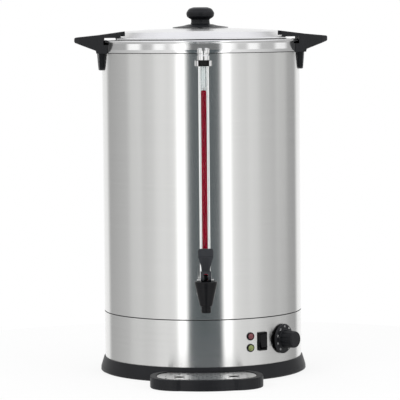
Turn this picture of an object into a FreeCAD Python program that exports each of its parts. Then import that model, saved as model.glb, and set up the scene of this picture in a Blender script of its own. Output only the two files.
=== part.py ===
import FreeCAD, Part
import math
import os

# Hot water urn, all lengths in millimetres and angles in degrees.
# Z points up from the table and Y points away from the person at the tap.
# Angles round the body start at the front and grow towards the right hand side.

Vec = FreeCAD.Vector
UP = Vec(0, 0, 1)
ORIGIN = Vec(0, 0, 0)
FULL_TURN = 360.0

# Clearances between pieces
SEAT_GAP = 0.3
RUNNING_GAP = 0.05
SLIDE_GAP = 0.5
OVERRUN = 1.0

# Body and its shells
BODY_RADIUS = 155.0
SHEET_WALL = 0.8
SHELL_WALL = 1.0
RING_HEIGHT = 22.5
SEAM_HEIGHT = 95.0
COLLAR_FOOT_HEIGHT = 501.0
COLLAR_BAND = 15.0
BEAD_HEIGHT = 4.2
BEAD_REACH = 3.8
JOGGLE_DEPTH = 9.0

# Inner tank and what heats it
TANK_RADIUS = 130.0
TANK_FLOOR_HEIGHT = 105.0
TANK_FLOOR_WALL = 1.2
TANK_LIP_WIDTH = 8.0
SPREADER_RADIUS = 88.0
SPREADER_THICKNESS = 4.0
ELEMENT_RADIUS = 70.0
ELEMENT_TUBE_RADIUS = 4.2
ELEMENT_SWEEP = 320.0
ELEMENT_LEG = 22.0
CUTOUT_RADIUS = 9.0
CUTOUT_HEIGHT = 12.0
CUTOUT_OFFSET = 105.0
BULB_RADIUS = 3.0
BULB_LENGTH = 64.0
BULB_SPACING = 20.0

# Foot of the urn
RING_SPREAD = 7.0
RING_WALL = 10.0
FOOT_HEIGHT = 2.4
FOOT_WIDTH = 7.0
PLATE_THICKNESS = 1.2
PLATE_HEIGHT = 7.0
STUD_RADIUS = 3.0
STUD_HEAD_RADIUS = 12.0
PLATE_SCREW_RADIUS = 2.0
PLATE_SCREW_COUNT = 4

# Lid
LID_RIM_INSET = 2.5
LID_RIM_HEIGHT = 2.5
LID_STEP_OUTSET = 1.0
LID_SHOULDER_INSET = 5.5
LID_SHOULDER_RISE = 11.5
LID_DOME_RISE = 6.0
LID_SKIRT_DEPTH = 11.0
LID_RUNNING_GAP = 0.4
NOTCH_HALF_ANGLE = 31.0
NOTCH_CLEARANCE = 1.2
SEAL_WIDTH = 2.2

# Lid knob
SHIELD_RADIUS = 43.5
SHIELD_EDGE = 1.1
SHIELD_RISE = 5.6
KNOB_NECK_RADIUS = 14.5
KNOB_HEAD_RADIUS = 22.3
KNOB_HEIGHT = 26.6
KNOB_SCREW_RADIUS = 2.9
KNOB_WASHER_RADIUS = 11.0

# Side handles
HANDLE_REACH = 42.7
JAW_OUTSET = 5.0
JAW_HALF_WIDTH = 66.0
JAW_TOP_RISE = 13.4
JAW_DROP = 5.4
JAW_RIB_CLEARANCE = 1.0
WING_HALF_WIDTH = 46.0
WING_TIP_HALF_WIDTH = 36.0
WING_TIP_THICKNESS = 7.4
WING_WALL = 4.0
LEG_LENGTH = 31.0
LEG_TOP_HALF_WIDTH = 36.0
LEG_FOOT_HALF_WIDTH = 27.0
LEG_THICKNESS = 8.2
LEG_TAPER = 2.6
HANDLE_SCREW_RADIUS = 2.4
HANDLE_SCREW_SPREAD = 15.0
HANDLE_SCREW_DROP = 14.0

# Sight glass
GAUGE_STANDOFF = 18.0
GAUGE_TUBE_RADIUS = 8.1
GAUGE_BORE_RADIUS = 5.3
GAUGE_LINE_RADIUS = 3.95
GAUGE_LINE_LENGTH = 284.0
GAUGE_TUBE_DROP = 4.0
GAUGE_CAP_RADIUS = 9.15
GAUGE_CAP_DROP = 10.6
GAUGE_CAP_HEIGHT = 18.2
GAUGE_GROMMET_RADIUS = 9.7
GAUGE_GROMMET_HEIGHT = 8.8
GAUGE_CLAMP_THICKNESS = 2.6
GAUGE_SOCKET_RADIUS = 11.5
GAUGE_SOCKET_HEIGHT = 158.5

# Tap
TAP_REACH = 50.0
TAP_AXIS_HEIGHT = 138.0
SHANK_RADIUS = 8.0
SHANK_BORE_RADIUS = 4.6
SHANK_FLANGE_RADIUS = 13.0
SHANK_FLANGE_THICKNESS = 3.5
SHANK_NUT_RADIUS = 14.0
SHANK_NUT_THICKNESS = 6.0
WASHER_THICKNESS = 2.0
TAP_SHOULDER_HEIGHT = 149.0
TAP_SHOULDER_RADIUS = 14.2
TAP_WAIST_HEIGHT = 125.0
TAP_WAIST_RADIUS = 9.8
NOZZLE_RADIUS = 7.4
NOZZLE_TIP_HEIGHT = 112.5
NOZZLE_TOP_HEIGHT = 122.0
NOZZLE_BORE_RADIUS = 5.0
CHAMBER_RADIUS = 10.4
SEAT_HEIGHT = 129.0
BONNET_RADIUS = 15.65
BONNET_HEIGHT = 11.1
BONNET_SKIRT = 4.0
STEM_RADIUS = 3.0
CUP_RADIUS = 8.2
CUP_HEIGHT = 7.0
SPRING_RADIUS = 6.2
SPRING_WIRE_RADIUS = 0.6
SPRING_TURNS = 5
SPRING_STEPS = 12
HEEL_RADIUS = 5.1
HEEL_OFFSET = 6.0
HEEL_CLEARANCE = 0.2
PIN_RADIUS = 2.0
FORK_WIDTH = 15.7
FORK_SLOT = 6.6
LEVER_HEIGHT = 43.4
LEVER_FOOT_WIDTH = 12.0
LEVER_TOP_WIDTH = 23.0
LEVER_THICKNESS = 7.0
LEVER_PAD_HEIGHT = 11.7
LEVER_PAD_THICKNESS = 1.2
LEVER_RIB_COUNT = 3

# Controls on the base shell
CONTROL_HEIGHT = 58.6
LAMP_ANGLE = 26.4
LAMP_SPREAD = 8.9
LAMP_LENS_RADIUS = 4.7
LAMP_BEZEL_RADIUS = 6.2
LAMP_BEZEL_HEIGHT = 1.5
LAMP_DEPTH = 17.0
SWITCH_ANGLE = 34.3
SWITCH_WIDTH = 16.0
SWITCH_HEIGHT = 28.5
SWITCH_BEZEL = 2.2
SWITCH_DEPTH = 19.0
ROCKER_WIDTH = 11.2
ROCKER_HEIGHT = 20.4
ROCKER_TILT = 10.0
DIAL_ANGLE = 50.5
DIAL_RADIUS = 22.85
DIAL_THICKNESS = 3.0
DIAL_STANDOFF = 2.0
GRIP_RADIUS = 12.5
GRIP_HEIGHT = 22.0
GRIP_RIB_COUNT = 12
SPINDLE_RADIUS = 3.0
BUSH_RADIUS = 5.0
THERMOSTAT_WIDTH = 36.0
THERMOSTAT_DEPTH = 24.0

# Mains inlet at the back
GLAND_HEIGHT = 50.0
GLAND_BORE_RADIUS = 3.6
GLAND_THREAD_RADIUS = 8.0
GLAND_FLANGE_RADIUS = 11.5
GLAND_LENGTH = 15.0
GLAND_NUT_RADIUS = 12.0
GLAND_NUT_THICKNESS = 5.0
TERMINAL_WIDTH = 34.0
TERMINAL_DEPTH = 20.0
TERMINAL_HEIGHT = 18.0

# Drip tray
TRAY_HALF_WIDTH = 85.3
TRAY_REACH = 99.0
TRAY_HEIGHT = 16.6
TRAY_LIFT = 0.5
TRAY_FRONT_BOW = 6.5
TRAY_CORNER_RADIUS = 34.0
TRAY_WALL = 5.5
TRAY_FLOOR = 2.6
TRAY_REBATE = 2.4
GRID_LEDGE = 5.0
GRID_THICKNESS = 1.0
GRID_FINGER_RADIUS = 8.3
GRID_FINGER_SPREAD = 41.0
GRID_HOLE_RADIUS = 2.4
GRID_PITCH = 15.0

# Heights and radii worked out from the sizes above
COLLAR_TOP_HEIGHT = COLLAR_FOOT_HEIGHT + COLLAR_BAND
BEAD_TOP_HEIGHT = COLLAR_TOP_HEIGHT + BEAD_HEIGHT
COLLAR_RADIUS = BODY_RADIUS + SHEET_WALL
LID_SPAN_RADIUS = BODY_RADIUS - LID_RIM_INSET
LID_STEP_RADIUS = TANK_RADIUS + LID_STEP_OUTSET
LID_SHOULDER_RADIUS = TANK_RADIUS - LID_SHOULDER_INSET
JAW_RADIUS = TANK_RADIUS + JAW_OUTSET
COLLAR_RING_HEIGHT = COLLAR_TOP_HEIGHT + 2.0
LID_RIM_FOOT = BEAD_TOP_HEIGHT + SEAT_GAP
LID_FLANGE_HEIGHT = LID_RIM_FOOT + LID_RIM_HEIGHT
LID_SHOULDER_HEIGHT = LID_RIM_FOOT + LID_SHOULDER_RISE
LID_TOP_HEIGHT = LID_SHOULDER_HEIGHT + LID_DOME_RISE
SHIELD_FOOT = LID_TOP_HEIGHT + SEAT_GAP
KNOB_FOOT = SHIELD_FOOT + SHIELD_RISE
TANK_LIP_HEIGHT = COLLAR_RING_HEIGHT - SHEET_WALL
MOUTH_RADIUS = BODY_RADIUS + 5.6
GAUGE_Y = -(BODY_RADIUS + GAUGE_STANDOFF)
GAUGE_TOP_HEIGHT = COLLAR_FOOT_HEIGHT - GAUGE_TUBE_DROP
GAUGE_CAP_FOOT = COLLAR_FOOT_HEIGHT - GAUGE_CAP_DROP
TAP_Y = -(BODY_RADIUS + TAP_REACH)
BONNET_TOP = TAP_SHOULDER_HEIGHT + BONNET_HEIGHT
PIN_HEIGHT = BONNET_TOP + HEEL_CLEARANCE + HEEL_RADIUS
RING_FOOT_RADIUS = BODY_RADIUS + RING_SPREAD
TRAY_BACK_RADIUS = RING_FOOT_RADIUS + SLIDE_GAP
TRAY_TOP = TRAY_LIFT + TRAY_HEIGHT
TRAY_FRONT_Y = -(BODY_RADIUS + TRAY_REACH)


# Shared building blocks

def rounded_wire(points, radii):
    """Closed wire through the points, with the given radius at each corner."""
    count = len(points)
    starts = []
    ends = []
    arcs = []
    for i, corner in enumerate(points):
        before = points[i - 1] - corner
        after = points[(i + 1) % count] - corner
        half_angle = before.getAngle(after) / 2
        radius = radii[i]
        if radius <= 0 or half_angle > 1.55:
            starts.append(corner)
            ends.append(corner)
            arcs.append(None)
            continue
        reach = min(radius / math.tan(half_angle), 0.45 * min(before.Length, after.Length))
        radius = reach * math.tan(half_angle)
        one = before.normalize()
        two = after.normalize()
        bisector = (one + two).normalize()
        centre = corner + bisector * (radius / math.sin(half_angle))
        starts.append(corner + one * reach)
        ends.append(corner + two * reach)
        arcs.append(Part.Arc(starts[-1], centre - bisector * radius, ends[-1]).toShape())
    edges = []
    for i in range(count):
        if arcs[i]:
            edges.append(arcs[i])
        following = starts[(i + 1) % count]
        if ends[i].distanceToPoint(following) > 1e-6:
            edges.append(Part.LineSegment(ends[i], following).toShape())
    return Part.Wire(edges)


def outline(pairs, place, radius=0.0):
    """Face from pairs of numbers, each with an optional radius of its own as a third number."""
    points = [place(pair[0], pair[1]) for pair in pairs]
    radii = [pair[2] if len(pair) > 2 else radius for pair in pairs]
    return Part.Face(rounded_wire(points, radii))


def in_section(x, z):
    return Vec(x, 0, z)


def in_plan(x, y):
    return Vec(x, y, 0)


def in_side(y, z):
    return Vec(0, y, z)


def turned(pairs, radius=0.0):
    """Solid turned about the Z axis from a section of radius and height pairs."""
    return outline(pairs, in_section, radius).revolve(ORIGIN, UP, FULL_TURN)


def disc(radius, bottom, top, x=0.0, y=0.0):
    return Part.makeCylinder(radius, top - bottom, Vec(x, y, bottom))


def tube(outer, inner, bottom, top, x=0.0, y=0.0):
    bore = disc(inner, bottom - OVERRUN, top + OVERRUN, x, y)
    return disc(outer, bottom, top, x, y).cut(bore)


def rod_along_y(radius, y_from, y_to, z, x=0.0):
    low = min(y_from, y_to)
    return Part.makeCylinder(radius, abs(y_to - y_from), Vec(x, low, z), Vec(0, 1, 0))


def rod_along_x(radius, half_length, y, z):
    return Part.makeCylinder(radius, 2 * half_length, Vec(-half_length, y, z), Vec(1, 0, 0))


def block(x_size, y_size, z_from, z_to, x=0.0, y=0.0):
    corner = Vec(x - x_size / 2, y - y_size / 2, z_from)
    return Part.makeBox(x_size, y_size, z_to - z_from, corner)


def hexagon(radius, bottom, top):
    points = [
        Vec(radius * math.cos(math.radians(60 * k)), radius * math.sin(math.radians(60 * k)), bottom)
        for k in range(6)
    ]
    face = Part.Face(Part.makePolygon(points + points[:1]))
    return face.extrude(Vec(0, 0, top - bottom))


def lie_towards_front(shape, y, z):
    """Turns a shape whose own Z axis points outwards so that it points to the front."""
    placed = shape.copy()
    placed.rotate(ORIGIN, Vec(1, 0, 0), 90)
    placed.translate(Vec(0, y, z))
    return placed


def set_on_side(shape, angle, height, radius=BODY_RADIUS):
    """Sets a shape whose own Z axis points outwards on the body's side."""
    placed = lie_towards_front(shape, -radius, height)
    placed.rotate(ORIGIN, UP, angle)
    return placed


def mirrored(shape):
    return shape.mirror(ORIGIN, Vec(1, 0, 0))


def group(shapes):
    return Part.makeCompound([solid for shape in shapes for solid in shape.Solids])


def joined(first, *others):
    return first.multiFuse(list(others)).removeSplitter()


# Body shells

def outer_jacket():
    """Brushed jacket whose top edge tucks under the collar, with its side of the seam turned in."""
    inner = BODY_RADIUS - SHEET_WALL
    foot = SEAM_HEIGHT + SEAT_GAP
    top = COLLAR_TOP_HEIGHT - 4.0
    shell = turned([(inner, foot), (BODY_RADIUS, foot), (BODY_RADIUS, top), (inner, top)])
    shank_hole = rod_along_y(SHANK_RADIUS + SEAT_GAP, -BODY_RADIUS - 5, -BODY_RADIUS + 5, TAP_AXIS_HEIGHT)
    shell = shell.cut(shank_hole)
    for hole in handle_screw_shafts(HANDLE_SCREW_RADIUS + SEAT_GAP):
        shell = shell.cut(hole)
    return shell


def inner_tank():
    """Deep drawn tank with a rounded floor corner and a lip turned out at its mouth."""
    wall = SHEET_WALL
    lip = TANK_RADIUS + TANK_LIP_WIDTH
    floor = TANK_FLOOR_HEIGHT
    section = [
        (0, floor - TANK_FLOOR_WALL),
        (TANK_RADIUS + wall, floor - TANK_FLOOR_WALL, 9.0),
        (TANK_RADIUS + wall, TANK_LIP_HEIGHT - wall - SEAT_GAP),
        (lip, TANK_LIP_HEIGHT - wall - SEAT_GAP),
        (lip, TANK_LIP_HEIGHT - SEAT_GAP),
        (TANK_RADIUS, TANK_LIP_HEIGHT - SEAT_GAP),
        (TANK_RADIUS, floor, 8.0),
        (0, floor),
    ]
    shank_hole = rod_along_y(
        SHANK_RADIUS + SEAT_GAP, -TANK_RADIUS - 5, -TANK_RADIUS + 5, TAP_AXIS_HEIGHT
    )
    return turned(section).cut(shank_hole)


def top_collar():
    """Polished collar that caps the jacket: band, rolled bead and the ring that carries the lid."""
    inner = BODY_RADIUS + SEAT_GAP / 3
    bead_out = COLLAR_RADIUS + BEAD_REACH
    mid_bead = COLLAR_TOP_HEIGHT + BEAD_HEIGHT / 2
    ring_inner = TANK_RADIUS + SEAT_GAP / 3
    recess = BODY_RADIUS - 1.6
    corners = [
        Vec(inner, 0, COLLAR_FOOT_HEIGHT),
        Vec(COLLAR_RADIUS, 0, COLLAR_FOOT_HEIGHT),
        Vec(COLLAR_RADIUS, 0, COLLAR_TOP_HEIGHT),
    ]
    bead_end = Vec(COLLAR_RADIUS, 0, BEAD_TOP_HEIGHT)
    inside = [
        bead_end,
        Vec(recess + 0.6, 0, BEAD_TOP_HEIGHT),
        Vec(recess, 0, COLLAR_RING_HEIGHT),
        Vec(ring_inner, 0, COLLAR_RING_HEIGHT),
        Vec(ring_inner, 0, TANK_LIP_HEIGHT),
        Vec(recess, 0, TANK_LIP_HEIGHT),
        Vec(inner, 0, COLLAR_TOP_HEIGHT - 2.0),
        corners[0],
    ]
    edges = [
        Part.makeLine(corners[0], corners[1]),
        Part.makeLine(corners[1], corners[2]),
        Part.Arc(corners[2], Vec(bead_out, 0, mid_bead), bead_end).toShape(),
    ]
    edges += [Part.makeLine(inside[k], inside[k + 1]) for k in range(len(inside) - 1)]
    return Part.Face(Part.Wire(edges)).revolve(ORIGIN, UP, FULL_TURN)


def base_shell():
    """Lower shell with a joggled lip inside the jacket and openings for the controls."""
    outer = BODY_RADIUS
    inner = BODY_RADIUS - SHELL_WALL
    lip_out = BODY_RADIUS - SHEET_WALL - SEAT_GAP
    lip_in = lip_out - SHELL_WALL
    foot = PLATE_HEIGHT + PLATE_THICKNESS + 4.0
    top = SEAM_HEIGHT - SEAT_GAP
    section = [
        (inner, foot),
        (outer, foot),
        (outer, top),
        (lip_out, top + 0.8),
        (lip_out, top + JOGGLE_DEPTH),
        (lip_in, top + JOGGLE_DEPTH),
        (lip_in, top - 0.4),
        (inner, top - 1.6),
    ]
    shell = turned(section)
    lamp_window = disc(LAMP_LENS_RADIUS + SEAT_GAP, -10, 10)
    for height in lamp_heights():
        shell = shell.cut(set_on_side(lamp_window, LAMP_ANGLE, height))
    switch_window = block(SWITCH_WIDTH - 2.4, SWITCH_HEIGHT - 2.4, -10, 10)
    shell = shell.cut(set_on_side(switch_window, SWITCH_ANGLE, CONTROL_HEIGHT))
    bush_window = disc(BUSH_RADIUS + SEAT_GAP, -10, 10)
    shell = shell.cut(set_on_side(bush_window, DIAL_ANGLE, CONTROL_HEIGHT))
    gland_window = disc(GLAND_THREAD_RADIUS + SEAT_GAP, -10, 10)
    return shell.cut(set_on_side(gland_window, 180, GLAND_HEIGHT))


# Foot of the urn

def base_ring():
    """Flared plastic ring that hides the shell's lower edge and holds the base plate."""
    outer_top = BODY_RADIUS + 1.8
    foot = 1.0
    inner = RING_FOOT_RADIUS - RING_WALL - 2.0
    slot_in = BODY_RADIUS - SHELL_WALL - SEAT_GAP
    slot_out = BODY_RADIUS + SEAT_GAP
    slot_floor = PLATE_HEIGHT + PLATE_THICKNESS + 3.7
    groove_in = RING_FOOT_RADIUS - FOOT_WIDTH - 3.2
    groove_out = RING_FOOT_RADIUS - 2.8
    groove_top = FOOT_HEIGHT + SEAT_GAP
    section = [
        (inner, foot),
        (groove_in, foot),
        (groove_in, groove_top),
        (groove_out, groove_top),
        (groove_out, foot),
        (RING_FOOT_RADIUS, foot, 2.0),
        (RING_FOOT_RADIUS - 0.4, foot + 6.0, 8.0),
        (outer_top, RING_HEIGHT, 0.8),
        (slot_out, RING_HEIGHT),
        (slot_out, slot_floor),
        (slot_in, slot_floor),
        (slot_in, slot_floor + 5.0),
        (inner, slot_floor + 5.0),
    ]
    ring = turned(section)
    shelf_in = inner - 8.0
    shelf_foot = PLATE_HEIGHT + PLATE_THICKNESS + SEAT_GAP
    shelf = turned(
        [
            (shelf_in, shelf_foot),
            (inner + OVERRUN, shelf_foot),
            (inner + OVERRUN, slot_floor + 5.0),
            (shelf_in, slot_floor + 5.0),
        ]
    )
    ring = joined(ring, shelf)
    for x, y in plate_screw_places():
        ring = ring.cut(disc(PLATE_SCREW_RADIUS + RUNNING_GAP, shelf_foot - OVERRUN, shelf_foot + 7.0, x, y))
    return ring


def rubber_foot_ring():
    inner = RING_FOOT_RADIUS - FOOT_WIDTH - 3.2 + SEAT_GAP
    outer = RING_FOOT_RADIUS - 2.8 - SEAT_GAP
    return turned([(inner, 0), (outer, 0), (outer, FOOT_HEIGHT), (inner, FOOT_HEIGHT)])


def plate_radius():
    return RING_FOOT_RADIUS - RING_WALL - 2.0 - SEAT_GAP


def base_plate():
    """Bottom cover with a stiffening dish, a stud hole and vent slots."""
    radius = plate_radius()
    foot = PLATE_HEIGHT
    top = foot + PLATE_THICKNESS
    section = [
        (0, foot - 3.0),
        (radius * 0.55, foot - 3.0, 3.0),
        (radius * 0.62, foot, 3.0),
        (radius, foot),
        (radius, top),
        (radius * 0.61, top, 3.0),
        (radius * 0.54, top - 3.0, 3.0),
        (0, top - 3.0),
    ]
    plate = turned(section)
    plate = plate.cut(disc(STUD_RADIUS + SEAT_GAP, 0, top))
    for x, y in plate_screw_places():
        plate = plate.cut(disc(PLATE_SCREW_RADIUS + SEAT_GAP, foot - OVERRUN, top + OVERRUN, x, y))
    slot = block(radius * 0.2, 3.0, 0, top + OVERRUN, radius * 0.38)
    for k in range(8):
        vent = slot.copy()
        vent.rotate(ORIGIN, UP, k * 45 + 22.5)
        plate = plate.cut(vent)
    return plate


def plate_screw_places():
    radius = plate_radius() - 4.5
    step = FULL_TURN / PLATE_SCREW_COUNT
    angles = [math.radians(step * (k + 0.5)) for k in range(PLATE_SCREW_COUNT)]
    return [(radius * math.cos(a), radius * math.sin(a)) for a in angles]


def base_plate_screws():
    screws = []
    head_top = PLATE_HEIGHT - RUNNING_GAP
    for x, y in plate_screw_places():
        head = disc(3.6, head_top - 2.0, head_top, x, y)
        shaft = disc(PLATE_SCREW_RADIUS, head_top, head_top + 8.0, x, y)
        slot = block(5.0, 1.0, head_top - 2.6, head_top - 1.2, x, y)
        screws.append(joined(head, shaft).cut(slot))
    return group(screws)


def centre_stud():
    """Stud under the tank that pulls the base plate up against the ring."""
    top = spreader_foot() - SEAT_GAP
    head = disc(STUD_HEAD_RADIUS, top - 2.0, top)
    return joined(head, disc(STUD_RADIUS, 1.2, top - 2.0))


def centre_nut():
    seat = PLATE_HEIGHT - 3.0
    bore = disc(STUD_RADIUS + RUNNING_GAP, 0, seat + OVERRUN)
    return hexagon(6.0, seat - 2.6, seat - RUNNING_GAP).cut(bore)


# Heating and safety parts under the tank

def spreader_top():
    return TANK_FLOOR_HEIGHT - TANK_FLOOR_WALL - RUNNING_GAP


def spreader_foot():
    return spreader_top() - SPREADER_THICKNESS


def heat_spreader():
    return disc(SPREADER_RADIUS, spreader_foot(), spreader_top())


def heating_element():
    """Tubular element ring with two cold ends that turn down to its terminals."""
    height = spreader_foot() - SEAT_GAP - ELEMENT_TUBE_RADIUS
    ring = Part.makeTorus(
        ELEMENT_RADIUS, ELEMENT_TUBE_RADIUS, Vec(0, 0, height), UP, 0, FULL_TURN, ELEMENT_SWEEP
    )
    end_radius = ELEMENT_TUBE_RADIUS + 1.0
    leg = disc(end_radius, height - ELEMENT_LEG, height + ELEMENT_TUBE_RADIUS - 0.2, ELEMENT_RADIUS)
    pin = disc(1.6, height - ELEMENT_LEG - 6.0, height - ELEMENT_LEG + OVERRUN, ELEMENT_RADIUS)
    leg = joined(leg, pin)
    other = leg.copy()
    other.rotate(ORIGIN, UP, ELEMENT_SWEEP)
    element = ring.multiFuse([leg, other])
    element.rotate(ORIGIN, UP, 110)
    return element


def boil_dry_cutout():
    """Snap disc cut-out clamped to the tank floor, beside the heat spreader."""
    top = TANK_FLOOR_HEIGHT - TANK_FLOOR_WALL - SEAT_GAP
    x = -CUTOUT_OFFSET
    body = disc(CUTOUT_RADIUS, top - CUTOUT_HEIGHT, top, x)
    flange = disc(CUTOUT_RADIUS + 3.0, top - 2.0, top, x)
    tabs = [block(6.0, 0.8, top - CUTOUT_HEIGHT - 7.0, top - CUTOUT_HEIGHT, x, y) for y in (-5.0, 5.0)]
    return joined(body, flange, *tabs)


def thermostat_bulb():
    """Sensing bulb in its spring clip position under the spreader, with a short capillary tail."""
    height = spreader_foot() - SEAT_GAP - BULB_RADIUS
    offset = STUD_HEAD_RADIUS + BULB_SPACING
    half = BULB_LENGTH / 2
    bulb = rod_along_y(BULB_RADIUS, -half, half, height, offset)
    tail_start = Vec(offset, -half, height)
    run = 12.0
    bend = 8.0
    path = Part.Wire(
        [
            Part.makeLine(tail_start, tail_start + Vec(0, -run, 0)),
            Part.Arc(
                tail_start + Vec(0, -run, 0),
                tail_start + Vec(0, -run - bend * math.sin(math.pi / 4), -bend * (1 - math.cos(math.pi / 4))),
                tail_start + Vec(0, -run - bend, -bend),
            ).toShape(),
            Part.makeLine(
                tail_start + Vec(0, -run - bend, -bend),
                tail_start + Vec(0, -run - bend, -bend - run),
            ),
        ]
    )
    wire = Part.Wire(Part.makeCircle(1.0, tail_start, Vec(0, -1, 0)))
    return joined(bulb, path.makePipeShell([wire], True, False))


def terminal_block():
    """Ceramic connector block on the base plate, with a screw well over each pole."""
    y = BODY_RADIUS * 0.58
    foot = PLATE_HEIGHT + PLATE_THICKNESS + SEAT_GAP
    body = block(TERMINAL_WIDTH, TERMINAL_DEPTH, foot, foot + TERMINAL_HEIGHT, 0, y)
    pitch = TERMINAL_WIDTH / 3
    for k in (-1, 0, 1):
        top = foot + TERMINAL_HEIGHT
        body = body.cut(disc(2.4, top - 7.0, top + OVERRUN, k * pitch, y))
        body = body.cut(rod_along_y(2.0, y - TERMINAL_DEPTH, y + TERMINAL_DEPTH, foot + 8.0, k * pitch))
    return body


# Lid

def lid_plate():
    """Pressed lid: shallow dome, sloping shoulder, flat flange and a rolled rim with two notches."""
    wall = SHEET_WALL
    bore = KNOB_SCREW_RADIUS + SEAT_GAP
    flange = LID_FLANGE_HEIGHT
    shoulder = LID_SHOULDER_HEIGHT
    crown = LID_TOP_HEIGHT
    edge = LID_SHOULDER_RADIUS - 6.0
    lean = wall * 0.8

    def dome(radius_in, radius_out, drop):
        mid = (radius_in + radius_out) / 2
        sag = LID_DOME_RISE * (mid / edge) ** 2 * 0.7
        return Part.Arc(
            Vec(radius_in, 0, crown - drop),
            Vec(mid, 0, crown - drop - sag),
            Vec(radius_out, 0, shoulder + LID_DOME_RISE * 0.3 - drop),
        ).toShape()

    outer = [
        Vec(edge, 0, shoulder + LID_DOME_RISE * 0.3),
        Vec(LID_SHOULDER_RADIUS, 0, shoulder),
        Vec(LID_STEP_RADIUS, 0, flange + 0.8),
        Vec(LID_SPAN_RADIUS - 0.9, 0, flange),
        Vec(LID_SPAN_RADIUS, 0, flange - 0.9),
        Vec(LID_SPAN_RADIUS, 0, LID_RIM_FOOT),
        Vec(LID_SPAN_RADIUS - 1.6, 0, LID_RIM_FOOT),
        Vec(LID_SPAN_RADIUS - 1.6, 0, flange - wall),
        Vec(LID_STEP_RADIUS - lean, 0, flange + 0.8 - wall),
        Vec(LID_SHOULDER_RADIUS - lean, 0, shoulder - wall),
        Vec(edge, 0, shoulder + LID_DOME_RISE * 0.3 - wall),
    ]
    edges = [dome(bore, edge, 0.0)]
    edges += [Part.makeLine(outer[k], outer[k + 1]) for k in range(len(outer) - 1)]
    edges += [dome(bore, edge, wall), Part.makeLine(Vec(bore, 0, crown - wall), Vec(bore, 0, crown))]
    plate = Part.Face(Part.Wire(Part.sortEdges(edges)[0])).revolve(ORIGIN, UP, FULL_TURN)
    skirt_out = TANK_RADIUS - SEAL_WIDTH
    slope = (shoulder - flange - 0.8) / (LID_STEP_RADIUS - LID_SHOULDER_RADIUS)
    skirt_top = flange + 0.8 + slope * (LID_STEP_RADIUS - skirt_out) - wall * 0.3
    skirt = tube(skirt_out, skirt_out - wall, LID_RIM_FOOT - LID_SKIRT_DEPTH, skirt_top)
    plate = joined(plate, skirt)
    return plate.cut(rim_notches())


def rim_notches():
    """The two gaps in the rim through which the handles' jaws pass when the lid lifts."""
    inner = JAW_RADIUS - NOTCH_CLEARANCE
    sector = Part.makeCylinder(
        LID_SPAN_RADIUS + 5.0, 20.0, Vec(0, 0, LID_RIM_FOOT - 8.0), UP, 2 * NOTCH_HALF_ANGLE
    )
    sector = sector.cut(disc(inner, LID_RIM_FOOT - 10.0, LID_RIM_FOOT + 20.0))
    sector.rotate(ORIGIN, UP, -NOTCH_HALF_ANGLE)
    return group([sector, mirrored(sector)])


def lid_seal():
    """Silicone seal that sits on the collar's ring under the lid."""
    inner = TANK_RADIUS + 1.2
    outer = inner + SEAL_WIDTH
    foot = COLLAR_RING_HEIGHT + RUNNING_GAP
    top = LID_FLANGE_HEIGHT - LID_RUNNING_GAP
    middle = (foot + top) / 2
    return turned([(inner, foot), (outer, foot), (outer - 0.6, middle), (outer, top), (inner, top)])


def knob_shield():
    """Low cone under the knob that keeps steam off the fingers."""
    bore = KNOB_SCREW_RADIUS + RUNNING_GAP
    section = [
        (bore, SHIELD_FOOT),
        (SHIELD_RADIUS, SHIELD_FOOT, 0.3),
        (SHIELD_RADIUS, SHIELD_FOOT + SHIELD_EDGE, 0.4),
        (SHIELD_RADIUS * 0.62, SHIELD_FOOT + SHIELD_RISE * 0.62, 30.0),
        (KNOB_NECK_RADIUS + 4.5, SHIELD_FOOT + SHIELD_RISE, 1.0),
        (bore, SHIELD_FOOT + SHIELD_RISE),
    ]
    return turned(section)


def lid_knob():
    """Mushroom knob on a short neck."""
    foot = KNOB_FOOT + RUNNING_GAP
    bore = KNOB_SCREW_RADIUS + RUNNING_GAP
    neck = KNOB_NECK_RADIUS
    head = KNOB_HEAD_RADIUS
    top = foot + KNOB_HEIGHT
    section = [
        (bore, foot),
        (neck + 1.2, foot, 0.8),
        (neck, foot + 3.0, 2.0),
        (neck, foot + 7.4, 1.2),
        (head - 1.4, foot + 11.6, 4.0),
        (head, foot + 17.6, 6.0),
        (head - 4.2, top - 2.4, 6.0),
        (head - 11.0, top, 12.0),
        (0, top),
        (0, foot + 18.0),
        (bore, foot + 18.0),
    ]
    return turned(section)


def knob_washer():
    top = LID_TOP_HEIGHT - SHEET_WALL - 0.12
    return tube(KNOB_WASHER_RADIUS * 0.6, KNOB_SCREW_RADIUS + RUNNING_GAP, top - 1.0, top)


def knob_screw():
    head_top = LID_TOP_HEIGHT - SHEET_WALL - 0.12 - 1.0 - RUNNING_GAP
    head = turned([(0, head_top - 2.6), (3.6, head_top - 2.6, 1.6), (5.0, head_top), (0, head_top)])
    shaft = disc(KNOB_SCREW_RADIUS, head_top, KNOB_FOOT + 17.6)
    slot = block(7.0, 1.2, head_top - 3.6, head_top - 1.4)
    return joined(head, shaft).cut(slot)


# Side handles

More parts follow.
